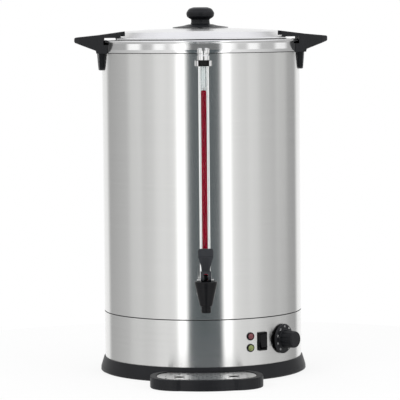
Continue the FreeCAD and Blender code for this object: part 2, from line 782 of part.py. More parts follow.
def handle_jaw():
    """Upper jaw and outer wing, cut from one profile and one plan."""
    body_x = BODY_RADIUS + 6.0
    tip_x = BODY_RADIUS + HANDLE_REACH
    inner_x = JAW_RADIUS - 17.0
    ridge = BEAD_TOP_HEIGHT + JAW_TOP_RISE
    root_top = ridge - JAW_DROP
    rib_foot = LID_FLANGE_HEIGHT + JAW_RIB_CLEARANCE
    profile = [
        (inner_x, ridge + 0.2, 1.5),
        (body_x, root_top),
        (tip_x, root_top - 3.6, 3.0),
        (tip_x, root_top - 3.6 - WING_TIP_THICKNESS, 3.0),
        (BODY_RADIUS + 8.7, COLLAR_FOOT_HEIGHT + 3.3, 2.0),
        (BODY_RADIUS + 8.0, COLLAR_FOOT_HEIGHT - 1.0),
        (BODY_RADIUS - 12.0, COLLAR_FOOT_HEIGHT - 1.0),
        (BODY_RADIUS - 12.0, rib_foot),
        (JAW_RADIUS - 17.0, rib_foot),
    ]
    reach = Vec(0, 2 * JAW_HALF_WIDTH + 20, 0)
    side = outline(profile, in_section).extrude(reach)
    side.translate(-reach / 2)
    plan = [
        (inner_x - 4.0, -JAW_HALF_WIDTH, 1.0),
        (inner_x + 8.0, -JAW_HALF_WIDTH, 12.0),
        (body_x - 4.0, -WING_HALF_WIDTH - 4.0, 24.0),
        (tip_x - 10.0, -WING_TIP_HALF_WIDTH - 6.0, 10.0),
        (tip_x, -WING_TIP_HALF_WIDTH + 8.0, 14.0),
        (tip_x, WING_TIP_HALF_WIDTH - 8.0, 14.0),
        (tip_x - 10.0, WING_TIP_HALF_WIDTH + 6.0, 10.0),
        (body_x - 4.0, WING_HALF_WIDTH + 4.0, 24.0),
        (inner_x + 8.0, JAW_HALF_WIDTH, 12.0),
        (inner_x - 4.0, JAW_HALF_WIDTH, 1.0),
    ]
    low = COLLAR_FOOT_HEIGHT - LEG_LENGTH
    top_down = outline(plan, in_plan).extrude(Vec(0, 0, ridge + OVERRUN - low))
    top_down.translate(Vec(0, 0, low))
    return side.common(top_down)


def handle_leg():
    """Curved leg that lies against the jacket and tapers to a rounded foot."""
    top = COLLAR_FOOT_HEIGHT + 4.0
    foot = COLLAR_FOOT_HEIGHT + 3.3 - LEG_LENGTH
    thick = BODY_RADIUS + LEG_THICKNESS
    section = [
        (BODY_RADIUS - 2.0, foot),
        (thick - LEG_TAPER, foot, 2.0),
        (thick, top),
        (BODY_RADIUS - 2.0, top),
    ]
    wall = turned(section)
    face = [
        (-LEG_FOOT_HALF_WIDTH, foot, 9.0),
        (LEG_FOOT_HALF_WIDTH, foot, 9.0),
        (LEG_TOP_HALF_WIDTH, top),
        (-LEG_TOP_HALF_WIDTH, top),
    ]
    front = outline(face, in_side).extrude(Vec(BODY_RADIUS + 40.0, 0, 0))
    return wall.common(front)


def handle_clearances():
    """What the handle leaves free: jacket, collar, bead and the turning lid flange."""
    bottom = COLLAR_FOOT_HEIGHT - LEG_LENGTH - OVERRUN
    mouth_foot = COLLAR_TOP_HEIGHT - 2.8
    mouth_top = LID_FLANGE_HEIGHT + JAW_RIB_CLEARANCE
    jacket = disc(BODY_RADIUS + SEAT_GAP, bottom, COLLAR_FOOT_HEIGHT - SEAT_GAP)
    collar = disc(COLLAR_RADIUS + SEAT_GAP, COLLAR_FOOT_HEIGHT - SEAT_GAP, mouth_foot)
    mouth = disc(MOUTH_RADIUS, mouth_foot, mouth_top)
    throat = disc(JAW_RADIUS, mouth_top - OVERRUN, mouth_top + 30.0)
    under_jaw = disc(BODY_RADIUS - 14.0, mouth_top - OVERRUN, mouth_top + 2.6)
    return [jacket, collar, mouth, throat, under_jaw]


def finger_pocket():
    """Hollow under the wing, with a wall left at each side and at the tip."""
    root_top = BEAD_TOP_HEIGHT + JAW_TOP_RISE - JAW_DROP
    x_in = MOUTH_RADIUS + WING_WALL
    x_out = BODY_RADIUS + HANDLE_REACH - WING_WALL
    roof = root_top - 3.6 - WING_WALL
    plan = [
        (x_in, -WING_HALF_WIDTH + WING_WALL, 3.0),
        (x_out, -WING_TIP_HALF_WIDTH + WING_WALL + 4.0, 8.0),
        (x_out, WING_TIP_HALF_WIDTH - WING_WALL - 4.0, 8.0),
        (x_in, WING_HALF_WIDTH - WING_WALL, 3.0),
    ]
    depth = 40.0
    pocket = outline(plan, in_plan).extrude(Vec(0, 0, depth))
    pocket.translate(Vec(0, 0, roof - depth))
    return pocket


def handle_screw_shafts(radius):
    """Rods on the axes of the handle screws, on both sides of the body."""
    height = COLLAR_FOOT_HEIGHT - HANDLE_SCREW_DROP
    rods = []
    for y in (-HANDLE_SCREW_SPREAD, HANDLE_SCREW_SPREAD):
        rod = Part.makeCylinder(radius, 40.0, Vec(BODY_RADIUS - 12.0, y, height), Vec(1, 0, 0))
        rods += [rod, mirrored(rod)]
    return rods


def right_handle():
    handle = joined(handle_jaw(), handle_leg())
    for space in handle_clearances():
        handle = handle.cut(space)
    handle = handle.cut(finger_pocket())
    height = COLLAR_FOOT_HEIGHT - HANDLE_SCREW_DROP
    for y in (-HANDLE_SCREW_SPREAD, HANDLE_SCREW_SPREAD):
        start = Vec(BODY_RADIUS - 12.0, y, height)
        reach = HANDLE_REACH + 12.0
        handle = handle.cut(Part.makeCylinder(HANDLE_SCREW_RADIUS + RUNNING_GAP, reach, start, Vec(1, 0, 0)))
        well = Vec(BODY_RADIUS + 3.4, y, height)
        handle = handle.cut(Part.makeCylinder(4.6, 20.0, well, Vec(1, 0, 0)))
    return handle


def handle_screws():
    """Pan head screws through each leg into the jacket."""
    height = COLLAR_FOOT_HEIGHT - HANDLE_SCREW_DROP
    seat = BODY_RADIUS + 3.4 + RUNNING_GAP
    screws = []
    for y in (-HANDLE_SCREW_SPREAD, HANDLE_SCREW_SPREAD):
        tail = BODY_RADIUS - 7.0
        shaft = Part.makeCylinder(HANDLE_SCREW_RADIUS, seat - tail, Vec(tail, y, height), Vec(1, 0, 0))
        head = Part.makeCylinder(4.2, 2.0, Vec(seat, y, height), Vec(1, 0, 0))
        cross = Part.makeBox(1.4, 0.9, 5.0, Vec(seat + 0.9, y - 0.45, height - 2.5))
        other = Part.makeBox(1.4, 5.0, 0.9, Vec(seat + 0.9, y - 2.5, height - 0.45))
        screw = joined(shaft, head).cut(cross).cut(other)
        screws += [screw, mirrored(screw)]
    return group(screws)


# Sight glass

def gauge_tube():
    foot = gauge_floor() + SEAT_GAP
    return tube(GAUGE_TUBE_RADIUS, GAUGE_BORE_RADIUS, foot, GAUGE_TOP_HEIGHT, 0, GAUGE_Y)


def gauge_floor():
    return GAUGE_SOCKET_HEIGHT - 9.0


def gauge_red_line():
    """Red indicating column inside the glass, with a rounded top."""
    foot = gauge_floor() + SEAT_GAP
    top = foot + GAUGE_LINE_LENGTH + 9.0
    rod = turned([(0, foot), (GAUGE_LINE_RADIUS, foot), (GAUGE_LINE_RADIUS, top, 3.4), (0, top)])
    rod.translate(Vec(0, GAUGE_Y, 0))
    return rod


def gauge_cap():
    """Turned cap over the top of the glass, with a waist and a slotted crown."""
    radius = GAUGE_CAP_RADIUS
    height = GAUGE_CAP_HEIGHT
    socket = GAUGE_TUBE_RADIUS + SEAT_GAP / 3
    section = [
        (socket, 0),
        (radius, 0, 0.6),
        (radius, height * 0.34, 0.6),
        (radius - 1.0, height * 0.42, 0.4),
        (radius - 1.0, height * 0.52, 0.4),
        (radius, height * 0.6, 0.6),
        (radius, height, 2.2),
        (0, height),
        (0, height * 0.44),
        (socket, height * 0.44),
    ]
    cap = turned(section)
    slot = block(5.0, 2.4 * radius, height - 4.0, height + OVERRUN)
    cap = cap.cut(slot)
    cap.translate(Vec(0, GAUGE_Y, GAUGE_CAP_FOOT))
    return cap


def gauge_grommet():
    """Rubber sleeve that keeps the clamp off the glass."""
    top = GAUGE_CAP_FOOT - SEAT_GAP
    foot = top - GAUGE_GROMMET_HEIGHT
    inner = GAUGE_TUBE_RADIUS + SEAT_GAP / 3
    outer = GAUGE_GROMMET_RADIUS
    section = [
        (inner, foot),
        (outer, foot, 0.5),
        (outer, top, 0.5),
        (inner, top),
    ]
    sleeve = turned(section)
    sleeve.translate(Vec(0, GAUGE_Y, 0))
    return sleeve


def gauge_clamp():
    """Strap round the sleeve with two ears that run back to the jacket."""
    top = GAUGE_CAP_FOOT - SEAT_GAP - 0.4
    foot = top - GAUGE_GROMMET_HEIGHT + 0.8
    inner = GAUGE_GROMMET_RADIUS + SEAT_GAP
    outer = inner + GAUGE_CLAMP_THICKNESS
    hoop = tube(outer, inner, foot, top, 0, GAUGE_Y)
    window = block(2 * GAUGE_GROMMET_RADIUS - 3.0, 2 * outer, foot - OVERRUN, top + OVERRUN, 0, GAUGE_Y - outer)
    hoop = hoop.cut(window)
    seat_y = -(BODY_RADIUS + SEAT_GAP)
    arm_y = GAUGE_Y + inner
    arm = block(13.0, seat_y - arm_y - 0.4, foot, top, 0, (seat_y + arm_y) / 2 - 0.2)
    pad = block(26.0, 3.0, foot, top, 0, seat_y - 1.5)
    clamp = joined(hoop, arm, pad)
    clamp = clamp.cut(disc(inner, foot - OVERRUN, top + OVERRUN, 0, GAUGE_Y))
    return clamp.cut(disc(BODY_RADIUS + SEAT_GAP, foot - OVERRUN, top + OVERRUN))


def gauge_socket_nut():
    """Gland nut that squeezes the glass into the tee on the tap's shank."""
    inner = GAUGE_TUBE_RADIUS + SEAT_GAP / 3
    foot = GAUGE_SOCKET_HEIGHT - 6.5
    outer = GAUGE_SOCKET_RADIUS + 1.2
    section = [
        (GAUGE_SOCKET_RADIUS - 1.0 + SEAT_GAP, foot),
        (outer, foot),
        (outer, GAUGE_SOCKET_HEIGHT + 1.6, 1.0),
        (inner, GAUGE_SOCKET_HEIGHT + 1.6),
        (inner, GAUGE_SOCKET_HEIGHT + SEAT_GAP),
        (GAUGE_SOCKET_RADIUS - 1.0 + SEAT_GAP, GAUGE_SOCKET_HEIGHT + SEAT_GAP),
    ]
    nut = turned(section)
    nut.translate(Vec(0, GAUGE_Y, 0))
    return nut


# Tap

def tap_shank():
    """Hollow threaded shank with a tee that feeds the sight glass."""
    front = TAP_Y + SHANK_BORE_RADIUS + 6.5
    back = -TANK_RADIUS + 10.0
    z = TAP_AXIS_HEIGHT
    pipe = rod_along_y(SHANK_RADIUS, front, back, z)
    seat = -(BODY_RADIUS + WASHER_THICKNESS + 2 * SEAT_GAP)
    flange = rod_along_y(SHANK_FLANGE_RADIUS, seat - SHANK_FLANGE_THICKNESS, seat, z)
    tee = disc(GAUGE_SOCKET_RADIUS - 1.0, z, GAUGE_SOCKET_HEIGHT, 0, GAUGE_Y)
    shank = joined(pipe, flange, tee)
    shank = shank.cut(rod_along_y(SHANK_BORE_RADIUS, front - OVERRUN, back + OVERRUN, z))
    socket = disc(GAUGE_TUBE_RADIUS + SEAT_GAP / 3, gauge_floor(), GAUGE_SOCKET_HEIGHT + OVERRUN, 0, GAUGE_Y)
    shank = shank.cut(socket)
    return shank.cut(disc(2.0, z, gauge_floor() + OVERRUN, 0, GAUGE_Y))


def shank_washers():
    """Silicone washers, one in front of the jacket and one on each side of the tank wall."""
    z = TAP_AXIS_HEIGHT
    outer = SHANK_FLANGE_RADIUS - 1.5
    inner = SHANK_RADIUS + SEAT_GAP / 3
    front_seat = -(BODY_RADIUS + SEAT_GAP)
    tank_in = -math.sqrt(TANK_RADIUS**2 - outer**2) + SEAT_GAP
    rings = []
    for start in (front_seat, tank_in + WASHER_THICKNESS):
        ring = rod_along_y(outer, start, start - WASHER_THICKNESS, z)
        rings.append(ring.cut(rod_along_y(inner, start + OVERRUN, start - WASHER_THICKNESS - OVERRUN, z)))
    return group(rings)


def shank_spacer():
    """Sleeve that bridges the insulating gap between jacket and tank."""
    z = TAP_AXIS_HEIGHT
    outer = SHANK_RADIUS + 3.0
    front = -math.sqrt((BODY_RADIUS - SHEET_WALL) ** 2 - outer**2) + SEAT_GAP
    back = -(TANK_RADIUS + SHEET_WALL + SEAT_GAP)
    sleeve = rod_along_y(outer, front, back, z)
    return sleeve.cut(rod_along_y(SHANK_RADIUS + SEAT_GAP / 3, front - OVERRUN, back + OVERRUN, z))


def shank_nut():
    outer = SHANK_FLANGE_RADIUS - 1.5
    start = -math.sqrt(TANK_RADIUS**2 - outer**2) + 2 * SEAT_GAP + WASHER_THICKNESS
    nut = hexagon(SHANK_NUT_RADIUS, 0, SHANK_NUT_THICKNESS).cut(
        disc(SHANK_RADIUS + RUNNING_GAP, -OVERRUN, SHANK_NUT_THICKNESS + OVERRUN)
    )
    return lie_towards_front(nut, start + SHANK_NUT_THICKNESS, TAP_AXIS_HEIGHT)


def tap_body():
    """Tapered tap body with a socket for the shank, a valve seat and a nozzle."""
    section = [
        (0, NOZZLE_TIP_HEIGHT),
        (NOZZLE_RADIUS, NOZZLE_TIP_HEIGHT, 0.8),
        (NOZZLE_RADIUS, NOZZLE_TOP_HEIGHT, 1.0),
        (TAP_WAIST_RADIUS, TAP_WAIST_HEIGHT, 1.0),
        (TAP_SHOULDER_RADIUS, TAP_SHOULDER_HEIGHT - BONNET_SKIRT * 0.25, 2.0),
        (TAP_SHOULDER_RADIUS - 0.6, TAP_SHOULDER_HEIGHT - RUNNING_GAP),
        (TAP_SHOULDER_RADIUS - 1.6, TAP_SHOULDER_HEIGHT - RUNNING_GAP),
        (TAP_SHOULDER_RADIUS - 1.6, TAP_SHOULDER_HEIGHT + BONNET_SKIRT),
        (0, TAP_SHOULDER_HEIGHT + BONNET_SKIRT),
    ]
    body = turned(section)
    body.translate(Vec(0, TAP_Y, 0))
    shank_front = TAP_Y + SHANK_BORE_RADIUS + 6.5
    socket_end = GAUGE_Y - GAUGE_SOCKET_RADIUS - 2.2
    socket = rod_along_y(SHANK_RADIUS + 2.4, TAP_Y + 2.0, socket_end, TAP_AXIS_HEIGHT)
    collar = rod_along_y(SHANK_RADIUS + 3.4, socket_end - 2.2, socket_end, TAP_AXIS_HEIGHT)
    body = joined(body, socket, collar)
    top = TAP_SHOULDER_HEIGHT + BONNET_SKIRT
    body = body.cut(disc(CHAMBER_RADIUS, SEAT_HEIGHT, top + OVERRUN, 0, TAP_Y))
    body = body.cut(disc(NOZZLE_BORE_RADIUS, NOZZLE_TIP_HEIGHT - OVERRUN, SEAT_HEIGHT + OVERRUN, 0, TAP_Y))
    body = body.cut(rod_along_y(SHANK_BORE_RADIUS, TAP_Y, socket_end + OVERRUN, TAP_AXIS_HEIGHT))
    screw_hole = rod_along_y(
        SHANK_RADIUS + SEAT_GAP / 3, shank_front - SEAT_GAP, socket_end + OVERRUN, TAP_AXIS_HEIGHT
    )
    return body.cut(screw_hole)


def tap_bonnet():
    """Screwed bonnet that closes the valve chamber and guides the stem."""
    inner = TAP_SHOULDER_RADIUS - 1.6 + SEAT_GAP / 3
    foot = TAP_SHOULDER_HEIGHT
    section = [
        (inner, foot),
        (BONNET_RADIUS, foot, 0.8),
        (BONNET_RADIUS, BONNET_TOP, 2.2),
        (STEM_RADIUS + RUNNING_GAP, BONNET_TOP),
        (STEM_RADIUS + RUNNING_GAP, foot + BONNET_SKIRT + 2.6),
        (CHAMBER_RADIUS, foot + BONNET_SKIRT + 2.6),
        (CHAMBER_RADIUS, foot + BONNET_SKIRT + SEAT_GAP / 3),
        (inner, foot + BONNET_SKIRT + SEAT_GAP / 3),
    ]
    bonnet = turned(section)
    bonnet.translate(Vec(0, TAP_Y, 0))
    return bonnet


def cup_foot():
    return SEAT_HEIGHT + SEAT_GAP


def tap_seat_cup():
    """Silicone cup that closes the seat when the stem is down."""
    foot = cup_foot()
    top = foot + CUP_HEIGHT
    stem = STEM_RADIUS + RUNNING_GAP
    section = [
        (0, foot),
        (CUP_RADIUS, foot, 1.0),
        (CUP_RADIUS - 0.8, foot + 3.0, 1.0),
        (STEM_RADIUS + 2.2, top, 1.0),
        (stem, top),
        (stem, foot + 2.4),
        (0, foot + 2.4),
    ]
    cup = turned(section)
    cup.translate(Vec(0, TAP_Y, 0))
    return cup


def tap_stem():
    """Lifting stem with a flat eye for the lever's pin."""
    foot = cup_foot() + 2.4 + RUNNING_GAP
    rod = disc(STEM_RADIUS, foot, PIN_HEIGHT, 0, TAP_Y)
    cup_top = cup_foot() + CUP_HEIGHT
    washer = disc(SPRING_RADIUS + 1.2, cup_top + RUNNING_GAP, cup_top + 1.0, 0, TAP_Y)
    eye = rod_along_x(STEM_RADIUS + 1.3, STEM_RADIUS - 0.2, TAP_Y, PIN_HEIGHT)
    stem = joined(rod, washer, eye)
    return stem.cut(rod_along_x(PIN_RADIUS + RUNNING_GAP, 2 * STEM_RADIUS, TAP_Y, PIN_HEIGHT))


def tap_spring():
    """Coil spring between the stem's collar and the bonnet, its wire drawn with six sides."""
    wire = SPRING_WIRE_RADIUS
    foot = cup_foot() + CUP_HEIGHT + 1.0 + wire + SEAT_GAP / 3
    top = TAP_SHOULDER_HEIGHT + BONNET_SKIRT + 2.6 - wire - SEAT_GAP / 3
    rise = (top - foot) / (2 * math.pi * SPRING_TURNS)
    sections = []
    for step in range(SPRING_TURNS * SPRING_STEPS + 1):
        angle = 2 * math.pi * step / SPRING_STEPS
        outward = Vec(math.cos(angle), math.sin(angle), 0)
        along = Vec(-SPRING_RADIUS * outward.y, SPRING_RADIUS * outward.x, rise).normalize()
        across = along.cross(outward)
        centre = Vec(0, TAP_Y, foot + rise * angle) + outward * SPRING_RADIUS
        corners = [
            centre + outward * (wire * math.cos(turn)) + across * (wire * math.sin(turn))
            for turn in (math.radians(60 * k) for k in range(6))
        ]
        sections.append(Part.makePolygon(corners + corners[:1]))
    return Part.makeLoft(sections, True, True)


def tap_pin():
    return rod_along_x(PIN_RADIUS, FORK_WIDTH / 2, TAP_Y, PIN_HEIGHT)


def tap_lever():
    """Flared lever on a fork whose round heel rides on the bonnet and lifts the stem."""
    half = FORK_WIDTH / 2
    pin = PIN_HEIGHT
    heel_y = TAP_Y - HEEL_OFFSET
    top = pin + LEVER_HEIGHT
    neck = pin + HEEL_RADIUS + 2.4
    fork_side = [
        (heel_y - HEEL_RADIUS, pin, 0.0),
        (heel_y - HEEL_RADIUS, pin + 2.0, 1.0),
        (TAP_Y - LEVER_THICKNESS / 2, neck + 2.0, 2.0),
        (TAP_Y + LEVER_THICKNESS / 2, neck + 2.0, 2.0),
        (TAP_Y + HEEL_RADIUS - 0.2, pin + 2.0, 3.0),
        (TAP_Y + HEEL_RADIUS - 0.2, pin, 0.0),
    ]
    cheek = outline(fork_side, in_side).extrude(Vec(FORK_WIDTH, 0, 0))
    cheek.translate(Vec(-half, 0, 0))
    heel = rod_along_x(HEEL_RADIUS, half, heel_y, pin)
    boss = rod_along_x(HEEL_RADIUS - 0.2, half, TAP_Y, pin)
    bridge = Part.makeBox(FORK_WIDTH, HEEL_OFFSET, HEEL_RADIUS, Vec(-half, heel_y, pin - HEEL_RADIUS))
    fork = joined(cheek, heel, boss, bridge)
    slot = block(FORK_SLOT, 40.0, pin - 20.0, pin + HEEL_RADIUS + 1.0, 0, TAP_Y)
    fork = fork.cut(slot)
    blade_face = [
        (-LEVER_FOOT_WIDTH / 2, neck - 1.0),
        (LEVER_FOOT_WIDTH / 2, neck - 1.0),
        (LEVER_FOOT_WIDTH / 2 + 0.8, neck + 9.0, 8.0),
        (LEVER_TOP_WIDTH / 2, top - LEVER_PAD_HEIGHT, 4.0),
        (LEVER_TOP_WIDTH / 2, top, 3.0),
        (-LEVER_TOP_WIDTH / 2, top, 3.0),
        (-LEVER_TOP_WIDTH / 2, top - LEVER_PAD_HEIGHT, 4.0),
        (-LEVER_FOOT_WIDTH / 2 - 0.8, neck + 9.0, 8.0),
    ]
    blade = outline(blade_face, in_section).extrude(Vec(0, LEVER_THICKNESS, 0))
    blade.translate(Vec(0, TAP_Y - LEVER_THICKNESS / 2, 0))
    pad = block(
        LEVER_TOP_WIDTH - 0.6, LEVER_THICKNESS + 2 * LEVER_PAD_THICKNESS,
        top - LEVER_PAD_HEIGHT, top - 1.2, 0, TAP_Y,
    )
    pad = pad.makeFillet(1.0, pad.Edges)
    lever = joined(fork, blade, pad)
    groove_pitch = LEVER_FOOT_WIDTH / (LEVER_RIB_COUNT + 1)
    for k in range(LEVER_RIB_COUNT):
        x = (k - (LEVER_RIB_COUNT - 1) / 2) * groove_pitch
        front = TAP_Y - LEVER_THICKNESS / 2
        groove = block(1.2, 1.6, neck + 3.0, top - LEVER_PAD_HEIGHT - 2.0, x, front)
        lever = lever.cut(groove)
    return lever.cut(rod_along_x(PIN_RADIUS + RUNNING_GAP, FORK_WIDTH, TAP_Y, pin))


# Controls

def lamp_heights():
    return (CONTROL_HEIGHT + LAMP_SPREAD, CONTROL_HEIGHT - LAMP_SPREAD)


def lamp_bezel():
    back = SEAT_GAP + 0.2
    inner = LAMP_LENS_RADIUS + SEAT_GAP / 3
    section = [
        (inner, back),
        (LAMP_BEZEL_RADIUS, back),
        (LAMP_BEZEL_RADIUS, back + LAMP_BEZEL_HEIGHT, 0.7),
        (inner, back + LAMP_BEZEL_HEIGHT),
    ]
    return turned(section)


def lamp_lens():
    """Domed lens in one piece with the lamp barrel behind the shell."""
    rim = SEAT_GAP + 0.2 + LAMP_BEZEL_HEIGHT
    section = [
        (0, -LAMP_DEPTH),
        (LAMP_LENS_RADIUS - 0.6, -LAMP_DEPTH),
        (LAMP_LENS_RADIUS, -LAMP_DEPTH + 1.0),
        (LAMP_LENS_RADIUS, rim + 0.4, 1.5),
        (LAMP_LENS_RADIUS * 0.55, rim + 2.4, 3.0),
        (0, rim + 2.8),
    ]
    return turned(section)


def switch_housing():
    """Snap-in rocker switch body with its bezel and three blade terminals."""
    back = SEAT_GAP
    front = back + SWITCH_BEZEL
    window_width = ROCKER_WIDTH + 2 * SEAT_GAP + 0.2
    window_height = ROCKER_HEIGHT + 3.2
    plate = [
        (-SWITCH_WIDTH / 2, -SWITCH_HEIGHT / 2, 1.5),
        (SWITCH_WIDTH / 2, -SWITCH_HEIGHT / 2, 1.5),
        (SWITCH_WIDTH / 2, SWITCH_HEIGHT / 2, 1.5),
        (-SWITCH_WIDTH / 2, SWITCH_HEIGHT / 2, 1.5),
    ]
    bezel = outline(plate, in_plan).extrude(Vec(0, 0, SWITCH_BEZEL))
    bezel.translate(Vec(0, 0, back))
    body = block(SWITCH_WIDTH - 3.0, SWITCH_HEIGHT - 3.0, -SWITCH_DEPTH, back + 0.5)
    housing = joined(bezel, body)
    housing = housing.cut(block(window_width, window_height, -9.0, front + OVERRUN))
    tabs = [block(5.0, 0.8, -SWITCH_DEPTH - 7.0, -SWITCH_DEPTH + 0.5, 0, y) for y in (-8.0, 0.0, 8.0)]
    return joined(housing, *tabs)


def rocker_shape():
    """Rocker with two faces that meet at a shallow angle, resting with its top pushed in."""
    half = ROCKER_HEIGHT / 2
    profile = [
        (-half, 5.0, 0.8),
        (0.0, 3.0, 4.0),
        (half, 5.0, 0.8),
        (half - 0.8, -1.0, 0.5),
        (3.5, -5.0, 1.0),
        (-3.5, -5.0, 1.0),
        (-half + 0.8, -1.0, 0.5),
    ]
    rocker = outline(profile, in_side).extrude(Vec(ROCKER_WIDTH, 0, 0))
    rocker.translate(Vec(-ROCKER_WIDTH / 2, 0, 0))
    rocker.rotate(Vec(0, 0, -1.0), Vec(1, 0, 0), -ROCKER_TILT)
    return rocker


def thermostat_body():
    """Capillary thermostat behind the shell, held by its bush."""
    seat = -SHELL_WALL - SEAT_GAP - 0.8
    width = THERMOSTAT_WIDTH
    case = block(width, width - 4.0, seat - THERMOSTAT_DEPTH, seat - 3.0)
    saddle = block(width * 0.5, width - 4.0, seat - 3.2, seat)
    bush = disc(BUSH_RADIUS, seat - 0.5, DIAL_STANDOFF - SEAT_GAP - 0.2)
    case = joined(case, saddle, bush)
    return case.cut(disc(SPINDLE_RADIUS + RUNNING_GAP, seat - 6.0, 10))


def thermostat_spindle():
    """Spindle with a flat for the knob."""
    seat = -SHELL_WALL - SEAT_GAP - 0.8
    shaft = disc(SPINDLE_RADIUS, seat - 5.7, DIAL_STANDOFF + 14.0)
    flat = block(8.0, 2.0, DIAL_STANDOFF + 2.0, 40.0, 0, SPINDLE_RADIUS)
    return shaft.cut(flat)


def thermostat_knob():
    """Numbered skirt and a ribbed grip with a pointer ridge."""
    back = DIAL_STANDOFF
    face = back + DIAL_THICKNESS
    top = face + GRIP_HEIGHT
    section = [
        (0, back),
        (DIAL_RADIUS, back, 0.6),
        (DIAL_RADIUS, back + 1.4, 0.6),
        (DIAL_RADIUS - 1.6, face, 1.0),
        (GRIP_RADIUS + 1.4, face + 0.4, 1.0),
        (GRIP_RADIUS, top, 2.6),
        (0, top),
    ]
    knob = turned(section)
    groove = disc(1.1, face + 1.6, top + OVERRUN, GRIP_RADIUS + 1.1)
    for k in range(GRIP_RIB_COUNT):
        flute = groove.copy()
        flute.rotate(ORIGIN, UP, (k + 0.5) * FULL_TURN / GRIP_RIB_COUNT)
        knob = knob.cut(flute)
    bore = disc(SPINDLE_RADIUS + RUNNING_GAP, back - OVERRUN, back + 14.5)
    flat = block(8.0, 2.0, back + 2.0, 60.0, 0, SPINDLE_RADIUS + RUNNING_GAP)
    return knob.cut(bore.cut(flat))


# Mains inlet

def cable_gland():
    """Gland through the back of the shell, without a cord in it."""
    section = [
        (GLAND_BORE_RADIUS, -12.0),
        (GLAND_THREAD_RADIUS, -12.0, 0.6),
        (GLAND_THREAD_RADIUS, SEAT_GAP),
        (GLAND_FLANGE_RADIUS, SEAT_GAP),
        (GLAND_FLANGE_RADIUS, 4.0, 0.6),
        (GLAND_FLANGE_RADIUS - 2.0, GLAND_LENGTH - 4.0, 1.5),
        (GLAND_BORE_RADIUS + 1.6, GLAND_LENGTH, 1.0),
        (GLAND_BORE_RADIUS, GLAND_LENGTH),
    ]
    return turned(section)


def gland_nut():
    top = -SHELL_WALL - SEAT_GAP - 0.4
    bore = disc(GLAND_THREAD_RADIUS + RUNNING_GAP, -30, 10)
    return hexagon(GLAND_NUT_RADIUS, top - GLAND_NUT_THICKNESS, top).cut(bore)


# Drip tray

def tray_plan(inset):
    """Outline of the tray: bowed front, round corners and straight sides back to the ring."""
    half = TRAY_HALF_WIDTH - inset
    side_y = TRAY_FRONT_Y + TRAY_FRONT_BOW + inset
    nose_y = TRAY_FRONT_Y + inset
    back_y = -BODY_RADIUS * 0.6
    corner = TRAY_CORNER_RADIUS - inset
    turn = corner * 0.92
    left = Vec(-half + turn, side_y, 0)
    right = Vec(half - turn, side_y, 0)
    front = Part.Arc(left, Vec(0, nose_y, 0), right).toShape()
    mid = corner * (1 - math.sin(math.pi / 4))
    edges = [
        front,
        Part.Arc(right, Vec(half - mid, side_y + mid, 0), Vec(half, side_y + corner, 0)).toShape(),
        Part.makeLine(Vec(half, side_y + corner, 0), Vec(half, back_y, 0)),
        Part.makeLine(Vec(half, back_y, 0), Vec(-half, back_y, 0)),
        Part.makeLine(Vec(-half, back_y, 0), Vec(-half, side_y + corner, 0)),
        Part.Arc(Vec(-half, side_y + corner, 0), Vec(-half + mid, side_y + mid, 0), left).toShape(),
    ]
    return Part.Face(Part.Wire(edges))


def tray_block(inset, bottom, top, back_radius):
    """Slab of the tray's outline between two heights, hollowed at the back round the urn."""
    slab = tray_plan(inset).extrude(Vec(0, 0, top - bottom))
    slab.translate(Vec(0, 0, bottom))
    return slab.cut(disc(back_radius, bottom - OVERRUN, top + OVERRUN))


def drip_tray():
    wall = TRAY_WALL
    outside = tray_block(0.0, TRAY_LIFT, TRAY_TOP, TRAY_BACK_RADIUS)
    sill = [edge for edge in outside.Edges if edge.BoundBox.ZMin > TRAY_TOP - 0.01]
    front = [edge for edge in sill if edge.BoundBox.YMin < TRAY_FRONT_Y + TRAY_FRONT_BOW + 3.0]
    outside = outside.makeFillet(1.6, front)
    basin = tray_block(
        wall + GRID_LEDGE, TRAY_LIFT + TRAY_FLOOR, TRAY_TOP + OVERRUN, TRAY_BACK_RADIUS + wall + GRID_LEDGE
    )
    rebate = tray_block(wall, TRAY_TOP - TRAY_REBATE, TRAY_TOP + OVERRUN, TRAY_BACK_RADIUS + wall)
    return outside.cut(basin).cut(rebate)


def drip_grid():
    """Polished grid with two finger holes and a field of drain holes."""
    wall = TRAY_WALL + SLIDE_GAP
    foot = TRAY_TOP - TRAY_REBATE + SEAT_GAP
    top = foot + GRID_THICKNESS
    plate = tray_block(wall, foot, top, TRAY_BACK_RADIUS + wall)
    holes = []
    finger_y = tray_centre_y()
    for x in (-GRID_FINGER_SPREAD, GRID_FINGER_SPREAD):
        holes.append(disc(GRID_FINGER_RADIUS, foot - OVERRUN, top + OVERRUN, x, finger_y))
    for x, y in drain_places():
        holes.append(disc(GRID_HOLE_RADIUS, foot - OVERRUN, top + OVERRUN, x, y))
    return plate.cut(Part.makeCompound(holes))


def tray_centre_y():
    return (TRAY_FRONT_Y - TRAY_BACK_RADIUS) / 2 + 4.0


def drain_places():
    """Staggered rows of drain holes that keep off the rim and the finger holes."""
    margin = TRAY_WALL + GRID_LEDGE + GRID_HOLE_RADIUS + 2.0
    field = tray_block(margin, -1.0, 1.0, TRAY_BACK_RADIUS + margin)
    places = []
    rows = int(TRAY_REACH / GRID_PITCH) + 2
    columns = int(TRAY_HALF_WIDTH / GRID_PITCH) + 1
    for row in range(rows):
        y = TRAY_FRONT_Y + margin + row * GRID_PITCH * 0.87
        shift = 0.5 * (row % 2)
        for column in range(-columns, columns + 1):
            x = (column + shift) * GRID_PITCH
            near = abs(abs(x) - GRID_FINGER_SPREAD), abs(y - tray_centre_y())
            if math.hypot(*near) < GRID_FINGER_RADIUS + 2 * GRID_HOLE_RADIUS:
                continue
            if field.isInside(Vec(x, y, 0), 0.01, False):
                places.append((x, y))
    return places


